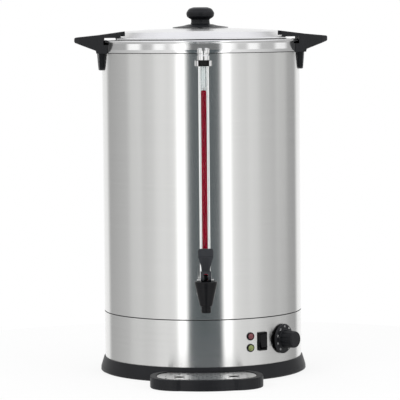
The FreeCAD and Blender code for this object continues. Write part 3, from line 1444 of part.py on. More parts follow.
# Every node by name, each in its place
def all_nodes():
    red_height, green_height = lamp_heights()
    handle = right_handle()
    lens = lamp_lens()
    bezel = lamp_bezel()
    return {
        "outer_jacket": outer_jacket(),
        "inner_tank": inner_tank(),
        "top_collar": top_collar(),
        "base_shell": base_shell(),
        "base_ring": base_ring(),
        "rubber_foot_ring": rubber_foot_ring(),
        "base_plate": base_plate(),
        "base_plate_screws": base_plate_screws(),
        "centre_stud": centre_stud(),
        "centre_nut": centre_nut(),
        "heat_spreader": heat_spreader(),
        "heating_element": heating_element(),
        "boil_dry_cutout": boil_dry_cutout(),
        "thermostat_bulb": thermostat_bulb(),
        "terminal_block": terminal_block(),
        "lid_plate": lid_plate(),
        "lid_seal": lid_seal(),
        "knob_shield": knob_shield(),
        "lid_knob": lid_knob(),
        "knob_washer": knob_washer(),
        "knob_screw": knob_screw(),
        "right_handle": handle,
        "left_handle": mirrored(handle),
        "handle_screws": handle_screws(),
        "gauge_tube": gauge_tube(),
        "gauge_red_line": gauge_red_line(),
        "gauge_cap": gauge_cap(),
        "gauge_grommet": gauge_grommet(),
        "gauge_clamp": gauge_clamp(),
        "gauge_socket_nut": gauge_socket_nut(),
        "tap_shank": tap_shank(),
        "shank_washers": shank_washers(),
        "shank_spacer": shank_spacer(),
        "shank_nut": shank_nut(),
        "tap_body": tap_body(),
        "tap_bonnet": tap_bonnet(),
        "tap_seat_cup": tap_seat_cup(),
        "tap_stem": tap_stem(),
        "tap_spring": tap_spring(),
        "tap_pin": tap_pin(),
        "tap_lever": tap_lever(),
        "red_lamp_bezel": set_on_side(bezel, LAMP_ANGLE, red_height),
        "red_lamp_lens": set_on_side(lens, LAMP_ANGLE, red_height),
        "green_lamp_bezel": set_on_side(bezel, LAMP_ANGLE, green_height),
        "green_lamp_lens": set_on_side(lens, LAMP_ANGLE, green_height),
        "switch_housing": set_on_side(switch_housing(), SWITCH_ANGLE, CONTROL_HEIGHT),
        "rocker": set_on_side(rocker_shape(), SWITCH_ANGLE, CONTROL_HEIGHT),
        "thermostat_body": set_on_side(thermostat_body(), DIAL_ANGLE, CONTROL_HEIGHT),
        "thermostat_spindle": set_on_side(thermostat_spindle(), DIAL_ANGLE, CONTROL_HEIGHT),
        "thermostat_knob": set_on_side(thermostat_knob(), DIAL_ANGLE, CONTROL_HEIGHT),
        "cable_gland": set_on_side(cable_gland(), 180, GLAND_HEIGHT),
        "gland_nut": set_on_side(gland_nut(), 180, GLAND_HEIGHT),
        "drip_tray": drip_tray(),
        "drip_grid": drip_grid(),
    }


def main():
    os.makedirs("parts", exist_ok=True)
    for name, shape in all_nodes().items():
        if not shape.isValid() or not shape.Solids:
            print("not a valid solid:", name)
        shape.exportStep("parts/" + name + ".step")
        box = shape.BoundBox
        print(name, len(shape.Solids), round(shape.Volume / 1000, 2), "cm3", [
            round(v, 1) for v in (box.XMin, box.XMax, box.YMin, box.YMax, box.ZMin, box.ZMax)
        ])


main()
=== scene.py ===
import bpy
import bmesh
import math
from mathutils import Matrix, Vector


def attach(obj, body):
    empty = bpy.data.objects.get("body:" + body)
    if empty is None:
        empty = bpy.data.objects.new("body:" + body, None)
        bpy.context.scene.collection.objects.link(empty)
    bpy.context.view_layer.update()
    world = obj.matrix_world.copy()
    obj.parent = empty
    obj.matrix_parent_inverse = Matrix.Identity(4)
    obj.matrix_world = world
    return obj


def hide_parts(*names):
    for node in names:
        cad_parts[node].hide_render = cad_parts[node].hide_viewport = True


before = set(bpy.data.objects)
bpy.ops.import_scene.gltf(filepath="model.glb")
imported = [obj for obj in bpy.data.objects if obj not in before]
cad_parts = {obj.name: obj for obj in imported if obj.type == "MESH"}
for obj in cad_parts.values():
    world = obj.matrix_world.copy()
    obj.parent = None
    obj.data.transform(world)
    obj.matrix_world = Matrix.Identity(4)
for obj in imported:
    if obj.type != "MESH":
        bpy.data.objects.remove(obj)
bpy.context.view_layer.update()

# Hot water urn. Pieces are drawn in millimetres and brought to metres by MM.
MM = 0.001
ROUND_STEPS = 192
FINE_STEPS = 64

# Sizes that the pieces share
BODY_R = 155.0
SHEET = 0.8
LID_R = 152.5
NOTCH_ANGLE = 32.0
SEAM_Z = 95.0
COLLAR_Z = 501.0
COLLAR_TOP_Z = 516.0
BEAD_TOP_Z = 520.2
COLLAR_R = BODY_R + SHEET
RIM_FOOT_Z = 520.5
CONTROL_Z = 58.6
DIAL_ANGLE = 50.5
GAUGE_Y = -173.0
COLUMN_R = 4.3
COLUMN_Z = (149.8, 445.2)
TAP_Y = -205.0

# Drip tray and grid
TRAY_Z = (0.5, 17.1)
TRAY_BACK_Y = -140.0
TRAY_FRONT_Y = -254.0
TRAY_RING_R = 162.9
GRID_Z = (14.95, 16.0)
FINGER_X = 41.0
FINGER_Y = -207.0
FINGER_R = 8.3
DRAIN_R = 2.4
DRAIN_PITCH = (13.6, 12.4)

# Printed marks, radius and lift measured on the dial's skirt
DIAL_FIRST = 30
DIAL_STEP = 10
DIAL_COUNT = 9
DIAL_PRINT_R = 18.6
DIAL_PRINT_LIFT = 5.35
DIAL_LEAN = 144
SWITCH_MARK_ANGLE = 40.9
SWITCH_MARKS = (("on_mark", "ON", 68.0), ("off_mark", "OFF", 51.0))

# Camera, from the ellipses of the collar, the seam and the foot in the photograph
CAMERA_DISTANCE = 3.9256
CAMERA_HEIGHT = 0.5544
CAMERA_TURN = 1.35
CAMERA_ROLL = 0.52
CAMERA_DROP = 4.184
PHOTO_PIXELS = 400
FOCAL_PIXELS = 2494.0
SENSOR_MM = 36.0
AXIS_PIXEL_X = 201.95

# Light: reflections come from cards level with the urn, a wide sweep above and below, and a ceiling
CARD_BAND = (0.022, 0.034)
CEILING_BAND = (0.45, 0.75)
DARK_STRIP = (0.11, 0.13, 0.138)
FLOOR_R = 620.0
FLOOR_GLOW = 0.82
BEVEL_ANGLE = math.radians(35)


# Materials

def new_material(name):
    material = bpy.data.materials.new(name)
    material.use_nodes = True
    tree = material.node_tree
    shader = tree.nodes["Principled BSDF"]
    return material, tree, shader


def add(tree, kind, **values):
    node = tree.nodes.new(kind)
    for key, value in values.items():
        if hasattr(node, key):
            setattr(node, key, value)
        else:
            node.inputs[key.replace("_", " ")].default_value = value
    return node


def noise(tree, scale, detail=2.0, stretch=(1, 1, 1)):
    """Noise in object space, in features per metre along each axis."""
    place = add(tree, "ShaderNodeTexCoord")
    mapping = add(tree, "ShaderNodeMapping")
    mapping.inputs["Scale"].default_value = stretch
    tree.links.new(place.outputs["Object"], mapping.inputs["Vector"])
    texture = add(tree, "ShaderNodeTexNoise", Scale=scale, Detail=detail)
    tree.links.new(mapping.outputs["Vector"], texture.inputs["Vector"])
    return texture


def ramp(tree, source, stops):
    node = tree.nodes.new("ShaderNodeValToRGB")
    elements = node.color_ramp.elements
    elements[0].position = stops[0][0]
    elements[0].color = (*stops[0][1], 1)
    elements[1].position = stops[-1][0]
    elements[1].color = (*stops[-1][1], 1)
    for position, colour in stops[1:-1]:
        elements.new(position).color = (*colour, 1)
    tree.links.new(source, node.inputs["Fac"])
    return node


def spread(tree, source, low, high):
    """Maps a noise value to a range of plain numbers."""
    node = add(tree, "ShaderNodeMapRange")
    node.inputs["From Min"].default_value = 0.3
    node.inputs["From Max"].default_value = 0.7
    node.inputs["To Min"].default_value = low
    node.inputs["To Max"].default_value = high
    tree.links.new(source, node.inputs["Value"])
    return node.outputs["Result"]


def bump(tree, shader, source, strength, distance):
    node = add(tree, "ShaderNodeBump", Strength=strength, Distance=distance)
    tree.links.new(source, node.inputs["Height"])
    tree.links.new(node.outputs["Normal"], shader.inputs["Normal"])
    return node


def brushed_steel():
    """Fine grain that runs round the body, with a soft vertical smear of reflections."""
    material, tree, shader = new_material("brushed_steel")
    grain = noise(tree, 1.0, 3.0, (3.0, 3.0, 2600.0))
    tone = ramp(tree, grain.outputs["Fac"], [(0.3, (0.72, 0.72, 0.71)), (0.7, (0.76, 0.76, 0.75))])
    tree.links.new(tone.outputs["Color"], shader.inputs["Base Color"])
    tree.links.new(spread(tree, grain.outputs["Fac"], 0.205, 0.225), shader.inputs["Roughness"])
    shader.inputs["Metallic"].default_value = 1.0
    shader.inputs["Anisotropic"].default_value = 0.95
    shader.inputs["Anisotropic Rotation"].default_value = 0.25
    tangent = add(tree, "ShaderNodeTangent", direction_type="RADIAL", axis="Z")
    tree.links.new(tangent.outputs["Tangent"], shader.inputs["Tangent"])
    bump(tree, shader, grain.outputs["Fac"], 0.02, 0.00005)
    return material


def polished_steel(name, low, high, wave=0.02):
    """Bright rolled steel with faint polishing lines and a slight unevenness."""
    material, tree, shader = new_material(name)
    lines = noise(tree, 1.0, 2.0, (8.0, 8.0, 1800.0))
    cloud = noise(tree, 22.0, 2.0)
    tone = ramp(tree, cloud.outputs["Fac"], [(0.3, (0.76, 0.76, 0.76)), (0.7, (0.82, 0.82, 0.82))])
    tree.links.new(tone.outputs["Color"], shader.inputs["Base Color"])
    tree.links.new(spread(tree, lines.outputs["Fac"], low, high), shader.inputs["Roughness"])
    shader.inputs["Metallic"].default_value = 1.0
    bump(tree, shader, cloud.outputs["Fac"], wave, 0.001)
    return material


def plastic(name, colour, low, high, grain=1400.0, depth=0.00004, shine=0.5):
    """Moulded plastic with a fine satin texture and slight cloudiness."""
    material, tree, shader = new_material(name)
    fine = noise(tree, grain, 3.0)
    cloud = noise(tree, 30.0, 3.0)
    dark = tuple(c * 0.82 for c in colour)
    light = tuple(min(1.0, c * 1.18) for c in colour)
    tone = ramp(tree, cloud.outputs["Fac"], [(0.3, dark), (0.7, light)])
    tree.links.new(tone.outputs["Color"], shader.inputs["Base Color"])
    tree.links.new(spread(tree, cloud.outputs["Fac"], low, high), shader.inputs["Roughness"])
    shader.inputs["Specular IOR Level"].default_value = shine
    bump(tree, shader, fine.outputs["Fac"], 0.35, depth)
    return material


def clear_glass():
    material, tree, shader = new_material("clear_glass")
    cloud = noise(tree, 40.0)
    tone = ramp(tree, cloud.outputs["Fac"], [(0.3, (0.95, 0.975, 0.98)), (0.7, (0.98, 0.99, 0.99))])
    tree.links.new(tone.outputs["Color"], shader.inputs["Base Color"])
    tree.links.new(spread(tree, cloud.outputs["Fac"], 0.0, 0.02), shader.inputs["Roughness"])
    shader.inputs["Transmission Weight"].default_value = 1.0
    shader.inputs["Specular IOR Level"].default_value = 0.1
    shader.inputs["IOR"].default_value = 1.2
    return material


def lens_material(name, deep, pale):
    """Translucent lamp lens, paler where it is thin."""
    material, tree, shader = new_material(name)
    cells = add(tree, "ShaderNodeTexVoronoi", Scale=900.0)
    tone = ramp(tree, cells.outputs["Distance"], [(0.0, deep), (0.8, pale)])
    tree.links.new(tone.outputs["Color"], shader.inputs["Base Color"])
    tree.links.new(spread(tree, cells.outputs["Distance"], 0.12, 0.2), shader.inputs["Roughness"])
    shader.inputs["Transmission Weight"].default_value = 0.25
    shader.inputs["Coat Weight"].default_value = 0.4
    bump(tree, shader, cells.outputs["Distance"], 0.2, 0.0002)
    return material


MATERIALS = {
    "brushed_steel": brushed_steel(),
    "polished_steel": polished_steel("polished_steel", 0.08, 0.13),
    "lid_steel": polished_steel("lid_steel", 0.26, 0.32, 0.02),
    "plain_steel": polished_steel("plain_steel", 0.30, 0.42, 0.05),
    "chrome": polished_steel("chrome", 0.05, 0.09),
    "black_plastic": plastic("black_plastic", (0.010, 0.0105, 0.0125), 0.40, 0.48, shine=0.26),
    "black_gloss": plastic("black_gloss", (0.005, 0.005, 0.006), 0.26, 0.34, 900.0, 0.00002, 0.18),
    "lever_black": plastic("lever_black", (0.026, 0.028, 0.032), 0.44, 0.52, 900.0, 0.00002, 0.3),
    "ink": plastic("ink", (0.20, 0.20, 0.20), 0.5, 0.6),
    # Also the black of the painted shadow lines that dark_lines draws.
    "rubber": plastic("rubber", (0.008, 0.008, 0.008), 0.62, 0.75, 1800.0, 0.00006, 0.2),
    "silicone": plastic("silicone", (0.42, 0.42, 0.42), 0.45, 0.55),
    "red_line": plastic("red_line", (0.200, 0.003, 0.014), 0.50, 0.58, 1400.0, 0.00001, 0.0),
    "ceramic": plastic("ceramic", (0.70, 0.68, 0.62), 0.25, 0.35),
    "brass": polished_steel("brass", 0.2, 0.3),
    "glass": clear_glass(),
    "red_lens": lens_material("red_lens", (0.14, 0.020, 0.026), (0.26, 0.060, 0.070)),
    "green_lens": lens_material("green_lens", (0.20, 0.25, 0.06), (0.34, 0.40, 0.13)),
    "print": plastic("print", (0.62, 0.62, 0.62), 0.45, 0.55),
}


# Building blocks

def finish_mesh(name, bm, material, body="urn", replaces=(), smooth=True):
    """Brings a drawn piece into the scene, on its body and in place of the CAD nodes that it replaces."""
    mesh = bpy.data.meshes.new(name)
    bmesh.ops.recalc_face_normals(bm, faces=bm.faces)
    bm.to_mesh(mesh)
    bm.free()
    mesh.transform(Matrix.Scale(MM, 4))
    piece = bpy.data.objects.new(name, mesh)
    bpy.context.scene.collection.objects.link(piece)
    mesh.materials.append(MATERIALS[material])
    for face in mesh.polygons:
        face.use_smooth = smooth
    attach(piece, body)
    if replaces:
        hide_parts(*replaces)
    return piece


def arc(centre, radius, start, end, steps):
    """Points of a circular arc in a section, angles in degrees from the outward direction."""
    points = []
    for k in range(steps + 1):
        angle = math.radians(start + (end - start) * k / steps)
        points.append((centre[0] + radius * math.cos(angle), centre[1] + radius * math.sin(angle)))
    return points


def bmesh_of_curve(name, curve):
    """Filled mesh of a flat outline or of text."""
    drawn = bpy.data.objects.new(name + "_drawing", curve)
    bpy.context.scene.collection.objects.link(drawn)
    bpy.context.view_layer.update()
    mesh = bpy.data.meshes.new_from_object(drawn)
    bpy.data.objects.remove(drawn)
    bpy.data.curves.remove(curve)
    bm = bmesh.new()
    bm.from_mesh(mesh)
    bpy.data.meshes.remove(mesh)
    return bm


def lathe(points, steps=ROUND_STEPS, centre=(0.0, 0.0), closed=True):
    """Mesh turned about a vertical axis from a section of radius and height pairs."""
    bm = bmesh.new()
    rings = []
    for radius, height in points:
        if radius < 1e-6:
            rings.append([bm.verts.new((centre[0], centre[1], height))])
            continue
        turns = [2 * math.pi * k / steps for k in range(steps)]
        rings.append([
            bm.verts.new((centre[0] + radius * math.cos(a), centre[1] + radius * math.sin(a), height))
            for a in turns
        ])
    pairs = list(zip(rings, rings[1:]))
    if closed:
        pairs.append((rings[-1], rings[0]))
    for one, two in pairs:
        if len(one) == len(two) == 1:
            continue
        for k in range(steps):
            after = (k + 1) % steps
            if len(one) == 1:
                bm.faces.new((one[0], two[k], two[after]))
            elif len(two) == 1:
                bm.faces.new((one[k], two[0], one[after]))
            else:
                bm.faces.new((one[k], one[after], two[after], two[k]))
    return bm


def onto_side(angle, height, radius=BODY_R):
    """Matrix that sets a shape whose Z axis points outwards on the body's side."""
    turn = Matrix.Rotation(math.radians(angle), 4, "Z")
    lay = Matrix.Rotation(math.radians(90), 4, "X")
    return turn @ Matrix.Translation((0, -radius, height)) @ lay


def dress(node, material, bevel=0.0):
    """Gives a CAD node its finish and, where asked, softened edges."""
    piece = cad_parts[node]
    piece.data.materials.clear()
    piece.data.materials.append(MATERIALS[material])
    if bevel:
        edge = piece.modifiers.new("soft_edges", "BEVEL")
        edge.width = bevel * MM
        edge.segments = 2
        edge.limit_method = "ANGLE"
        edge.angle_limit = BEVEL_ANGLE
        edge.harden_normals = False


# Body

def jacket():
    """Outer sheet of the body, from the seam up into the collar."""
    lower = SEAM_Z + 0.3
    upper = COLLAR_TOP_Z - 4
    points = [
        (BODY_R - SHEET, lower + 0.5), (BODY_R - 0.3, lower + 0.1), (BODY_R, lower + 0.5),
        (BODY_R, lower + 1.0), (BODY_R, upper - 2.0), (BODY_R, upper - 1.0),
        (BODY_R, upper), (BODY_R - SHEET, upper),
    ]
    bm = lathe(points)
    finish_mesh("jacket_skin", bm, "brushed_steel", replaces=("outer_jacket",))


def collar():
    """Polished collar with its rolled bead and the ledge that the lid's rim rests over."""
    inner = BODY_R + 0.1
    middle = (COLLAR_TOP_Z + BEAD_TOP_Z) / 2
    half = (BEAD_TOP_Z - COLLAR_TOP_Z) / 2
    bulge = [
        (COLLAR_R + 3.75 * math.cos(a), middle + half * math.sin(a))
        for a in (math.radians(-90 + 180 * k / 12) for k in range(13))
    ]
    points = [
        (inner, COLLAR_Z), (COLLAR_R - 0.15, COLLAR_Z), (COLLAR_R, COLLAR_Z + 0.2),
        (COLLAR_R, COLLAR_Z + 5), (COLLAR_R, COLLAR_TOP_Z - 1.0),
        *bulge,
        (BODY_R - 1.2, BEAD_TOP_Z), (BODY_R - 1.6, BEAD_TOP_Z - 0.5), (BODY_R - 1.7, 518.1),
        (BODY_R - 2.4, 518.0), (130.2, 518.0), (130.1, 517.9), (130.1, 517.2), (152.6, 517.2),
        (inner, 513.6),
    ]
    finish_mesh(
        "collar_ring", lathe(points), "polished_steel", replaces=("top_collar",)
    )


# Black by default: dark_lines draws its painted shadow lines with this finish.
def band(name, inner, outer, low, high, body="urn", sectors=((0.0, 360.0),), material="rubber"):
    """Thin upright ring, whole or in sectors given by their start and end angles."""
    bm = bmesh.new()
    for start, end in sectors:
        whole = end - start > 359.9
        count = ROUND_STEPS if whole else 64
        rings = []
        for k in range(count if whole else count + 1):
            angle = math.radians(start + (end - start) * k / count)
            rings.append([
                bm.verts.new((radius * math.cos(angle), radius * math.sin(angle), height))
                for radius, height in ((inner, low), (outer, low), (outer, high), (inner, high))
            ])
        steps = list(zip(rings, rings[1:])) + ([(rings[-1], rings[0])] if whole else [])
        for one, two in steps:
            for k in range(4):
                bm.faces.new((one[k], two[k], two[(k + 1) % 4], one[(k + 1) % 4]))
        if not whole:
            bm.faces.new(rings[0])
            bm.faces.new(rings[-1][::-1])
    return finish_mesh(name, bm, material, body, smooth=False)


def dark_lines():
    """Painted shadow lines: thin black bands, in the same finish as the rubber parts, laid where the
    shells, the collar and the lid's rolled rim meet.
    """
    band("seam_line", BODY_R - 0.6, BODY_R + 0.05, SEAM_Z - 0.7, SEAM_Z + 0.5)
    band("collar_line", BODY_R + 0.03, COLLAR_R + 0.05, COLLAR_Z - 0.8, COLLAR_Z - 0.05)
    open_sectors = ((NOTCH_ANGLE, 180 - NOTCH_ANGLE), (180 + NOTCH_ANGLE, 360 - NOTCH_ANGLE))
    band("rim_line", LID_R + 0.02, LID_R + 0.3, RIM_FOOT_Z, RIM_FOOT_Z + 1.1, "lid", open_sectors)


def sight_column():
    """Red indicating column that fills the bore of the glass."""
    foot, top = COLUMN_Z
    section = [(0, foot), (COLUMN_R, foot), (COLUMN_R, foot + 2), (COLUMN_R, top - 3)]
    section += arc((COLUMN_R - 3, top - 3), 3, 10, 90, 6) + [(0, top)]
    finish_mesh(
        "sight_column", lathe(section, FINE_STEPS, (0, GAUGE_Y), closed=False), "red_line",
        replaces=("gauge_red_line",),
    )


def plan_shape(half_width, back_y, front_y, front_corner, back_corner, ring_radius, bow=6.5, steps=12):
    """Outline from above: round corners, a bowed front and a back that is hollowed round the urn."""
    points = []
    corners = (
        (half_width - front_corner, front_y + bow + front_corner, front_corner, -90, 0),
        (half_width - back_corner, back_y - back_corner, back_corner, 0, 90),
        (back_corner - half_width, back_y - back_corner, back_corner, 90, 180),
        (front_corner - half_width, front_y + bow + front_corner, front_corner, 180, 270),
    )
    for x, y, radius, start, end in corners:
        points += arc((x, y), radius, start, end, steps)
        if end == 90:
            points += [(x * (1 - 2 * k / (3 * steps)), back_y) for k in range(1, 3 * steps)]
    points = [
        (x, -math.sqrt(ring_radius ** 2 - x * x)) if math.hypot(x, y) < ring_radius else (x, y)
        for x, y in points
    ]
    left, right = points[-1], points[0]
    for k in range(1, steps):
        t = k / steps
        points.append((
            left[0] + (right[0] - left[0]) * t,
            left[1] + (right[1] - left[1]) * t - bow * 4 * t * (1 - t),
        ))
    return points


def slab(name, points, low, high, holes, material, body, replaces, slot):
    """Flat plate from an outline seen from above, with round holes."""
    curve = bpy.data.curves.new(name, "CURVE")
    curve.dimensions = "2D"
    curve.fill_mode = "BOTH"
    curve.extrude = (high - low) / 2
    loops = [points]
    for x, y, radius in holes:
        loops.append([(x + dx, y + dy) for dx, dy in arc((0, 0), radius, 360, 20, 17)])
    for loop in loops:
        spline = curve.splines.new("POLY")
        spline.points.add(len(loop) - 1)
        for place, (x, y) in zip(spline.points, loop):
            place.co = (x, y, 0, 1)
        spline.use_cyclic_u = True
    bm = bmesh_of_curve(name, curve)
    bmesh.ops.remove_doubles(bm, verts=bm.verts, dist=0.0005)
    bmesh.ops.translate(bm, verts=bm.verts, vec=(0, 0, (low + high) / 2))
    return finish_mesh(name, bm, material, body, replaces, smooth=False)


def tray():
    """Drip tray with a bowed front, four round corners and a thick rim."""
    low, high = TRAY_Z
    outside = plan_shape(85.3, TRAY_BACK_Y, TRAY_FRONT_Y, 45.0, 52.0, TRAY_RING_R)
    inside = plan_shape(75.5, TRAY_BACK_Y - 8.0, -245.5, 37.0, 45.0, TRAY_RING_R + 2.5, 5.0)
    bm = bmesh.new()
    count = len(outside)
    levels = (
        (outside, low, 0.993), (outside, low + 1.0, 1.0), (outside, high - 1.6, 1.0),
        (outside, high - 0.4, 0.995), (outside, high, 0.985), (inside, high, 1.0),
        (inside, high - 2.6, 1.0), (inside, high - 2.6, 0.93), (inside, 3.1, 0.92),
    )
    middle_y = (TRAY_FRONT_Y - TRAY_RING_R) / 2
    rings = [
        [bm.verts.new((x * scale, middle_y + (y - middle_y) * scale, height)) for x, y in outline]
        for outline, height, scale in levels
    ]
    for one, two in zip(rings, rings[1:]):
        for k in range(count):
            after = (k + 1) % count
            bm.faces.new((one[k], one[after], two[after], two[k]))
    bm.faces.new(rings[0][::-1])
    bm.faces.new(rings[-1])
    finish_mesh(
        "drip_tray_shell", bm, "black_plastic", "tray", ("drip_tray",), smooth=False
    )


def grid():
    """Perforated grid with two finger holes, lying in the tray's rebate."""
    plate = plan_shape(74.7, TRAY_BACK_Y - 8.8, -244.7, 36.2, 44.2, TRAY_RING_R + 3.3, 5.0)
    fingers = (-FINGER_X, FINGER_X)
    holes = [(x, FINGER_Y, FINGER_R) for x in fingers]
    for row in range(-3, 4):
        for column in range(-5, 6):
            x = (column + 0.5 * (row % 2)) * DRAIN_PITCH[0]
            y = FINGER_Y + row * DRAIN_PITCH[1]
            near_finger = min(math.hypot(x - a, y - FINGER_Y) for a in fingers) < 14.0
            inside_x = abs(x) < 66.0 - 0.006 * (y - FINGER_Y) ** 2
            if inside_x and -236.0 < y < -TRAY_RING_R - 10.0 and not near_finger:
                holes.append((x, y, DRAIN_R))
    slab("grid_plate", plate, *GRID_Z, holes, "lid_steel", "grid", ("drip_grid",), "polished_steel")


def tap_cone():
    """Straight outer taper of the tap from the bonnet down to the nozzle."""
    section = [
        (16.2, 160.0), (17.0, 158.6), (16.9, 156.6), (9.8, 124.4), (9.2, 122.8), (7.6, 121.8),
        (7.0, 121.8), (8.8, 126.0), (13.4, 149.0), (14.6, 159.6),
    ]
    finish_mesh("tap_cone", lathe(section, FINE_STEPS, (0, TAP_Y)), "black_gloss")


def printed(name, text, size, place, material, body="urn"):
    """Plain characters laid flat on a face; place sets their centre and direction."""
    curve = bpy.data.curves.new(name, "FONT")
    curve.body = text
    curve.size = size
    curve.align_x = "CENTER"
    curve.align_y = "CENTER"
    curve.resolution_u = 3
    bm = bmesh_of_curve(name, curve)
    bmesh.ops.transform(bm, matrix=place, verts=bm.verts)
    return finish_mesh(name, bm, material, body, smooth=False)


def print_marks():
    """Numbers on the dial's skirt and the two positions beside the switch."""
    dial = onto_side(DIAL_ANGLE, CONTROL_Z)
    spacing = 2 * DIAL_LEAN / (DIAL_COUNT - 1)
    for k in range(DIAL_COUNT):
        lean = math.radians(DIAL_LEAN - spacing * k)
        spot = (-DIAL_PRINT_R * math.sin(lean), DIAL_PRINT_R * math.cos(lean), DIAL_PRINT_LIFT)
        place = dial @ Matrix.Translation(spot) @ Matrix.Rotation(lean, 4, "Z")
        text = str(DIAL_FIRST + DIAL_STEP * k)
        printed(f"dial_number_{k}", text, 4.0, place, "print", "dial")
    for name, text, height in SWITCH_MARKS:
        printed(name, text, 3.6, onto_side(SWITCH_MARK_ANGLE, height, BODY_R + 0.12), "ink")


def dress_cad_nodes():
    """Finish and width of softened edges for every CAD node, grouped."""
    finishes = (
        ("plain_steel", 0,
         "inner_tank base_plate base_plate_screws centre_stud centre_nut heat_spreader "
         "heating_element boil_dry_cutout knob_washer knob_screw handle_screws tap_shank "
         "shank_spacer shank_nut tap_spring tap_pin thermostat_body thermostat_spindle"),
        ("brushed_steel", 0, "base_shell outer_jacket"),
        ("black_plastic", 0, "base_ring knob_shield lid_knob cable_gland gland_nut drip_tray"),
        ("rubber", 0, "rubber_foot_ring gauge_grommet"),
        ("brass", 0, "thermostat_bulb"),
        ("ceramic", 0, "terminal_block"),
        ("lid_steel", 0, "lid_plate"),
        ("silicone", 0, "lid_seal shank_washers tap_seat_cup"),
        ("black_plastic", 0.8, "right_handle left_handle"),
        ("glass", 0, "gauge_tube"),
        ("red_line", 0, "gauge_red_line"),
        ("chrome", 0, "gauge_cap gauge_socket_nut"),
        ("chrome", 0.2, "gauge_clamp"),
        ("black_gloss", 0, "tap_body tap_bonnet tap_stem red_lamp_bezel green_lamp_bezel"),
        ("lever_black", 0.3, "tap_lever"),
        ("red_lens", 0, "red_lamp_lens"),
        ("green_lens", 0, "green_lamp_lens"),
        ("black_gloss", 0.3, "switch_housing"),
        ("black_gloss", 0.2, "rocker"),
        ("black_plastic", 0.2, "thermostat_knob"),
        ("polished_steel", 0, "drip_grid top_collar"),
    )
    for material, bevel, nodes in finishes:
        for node in nodes.split():
            dress(node, material, bevel)


# Stage, camera and light

def floor():
    """Pale round floor, brightened for the camera only, so that it keeps its soft shadow."""
    material, tree, shader = new_material("pale_floor")
    shader.inputs["Base Color"].default_value = (0.86, 0.86, 0.86, 1)
    shader.inputs["Roughness"].default_value = 0.9
    output = tree.nodes["Material Output"]
    glow = add(tree, "ShaderNodeEmission", Strength=1.0)
    mix = add(tree, "ShaderNodeMixShader")
    path = add(tree, "ShaderNodeLightPath")
    share = add(tree, "ShaderNodeMath", operation="MULTIPLY")
    share.inputs[1].default_value = FLOOR_GLOW
    tree.links.new(path.outputs["Is Camera Ray"], share.inputs[0])
    tree.links.new(share.outputs[0], mix.inputs["Fac"])
    tree.links.new(shader.outputs["BSDF"], mix.inputs[1])
    tree.links.new(glow.outputs["Emission"], mix.inputs[2])
    tree.links.new(mix.outputs["Shader"], output.inputs["Surface"])
    bm = bmesh.new()
    bmesh.ops.create_circle(bm, cap_ends=True, segments=96, radius=FLOOR_R)
    mesh = bpy.data.meshes.new("floor")
    bm.to_mesh(mesh)
    bm.free()
    mesh.transform(Matrix.Scale(MM, 4))
    mesh.materials.append(material)
    plane = bpy.data.objects.new("floor", mesh)
    bpy.context.scene.collection.objects.link(plane)
    plane.visible_glossy = False


def grey(value):
    return (value, value, value)


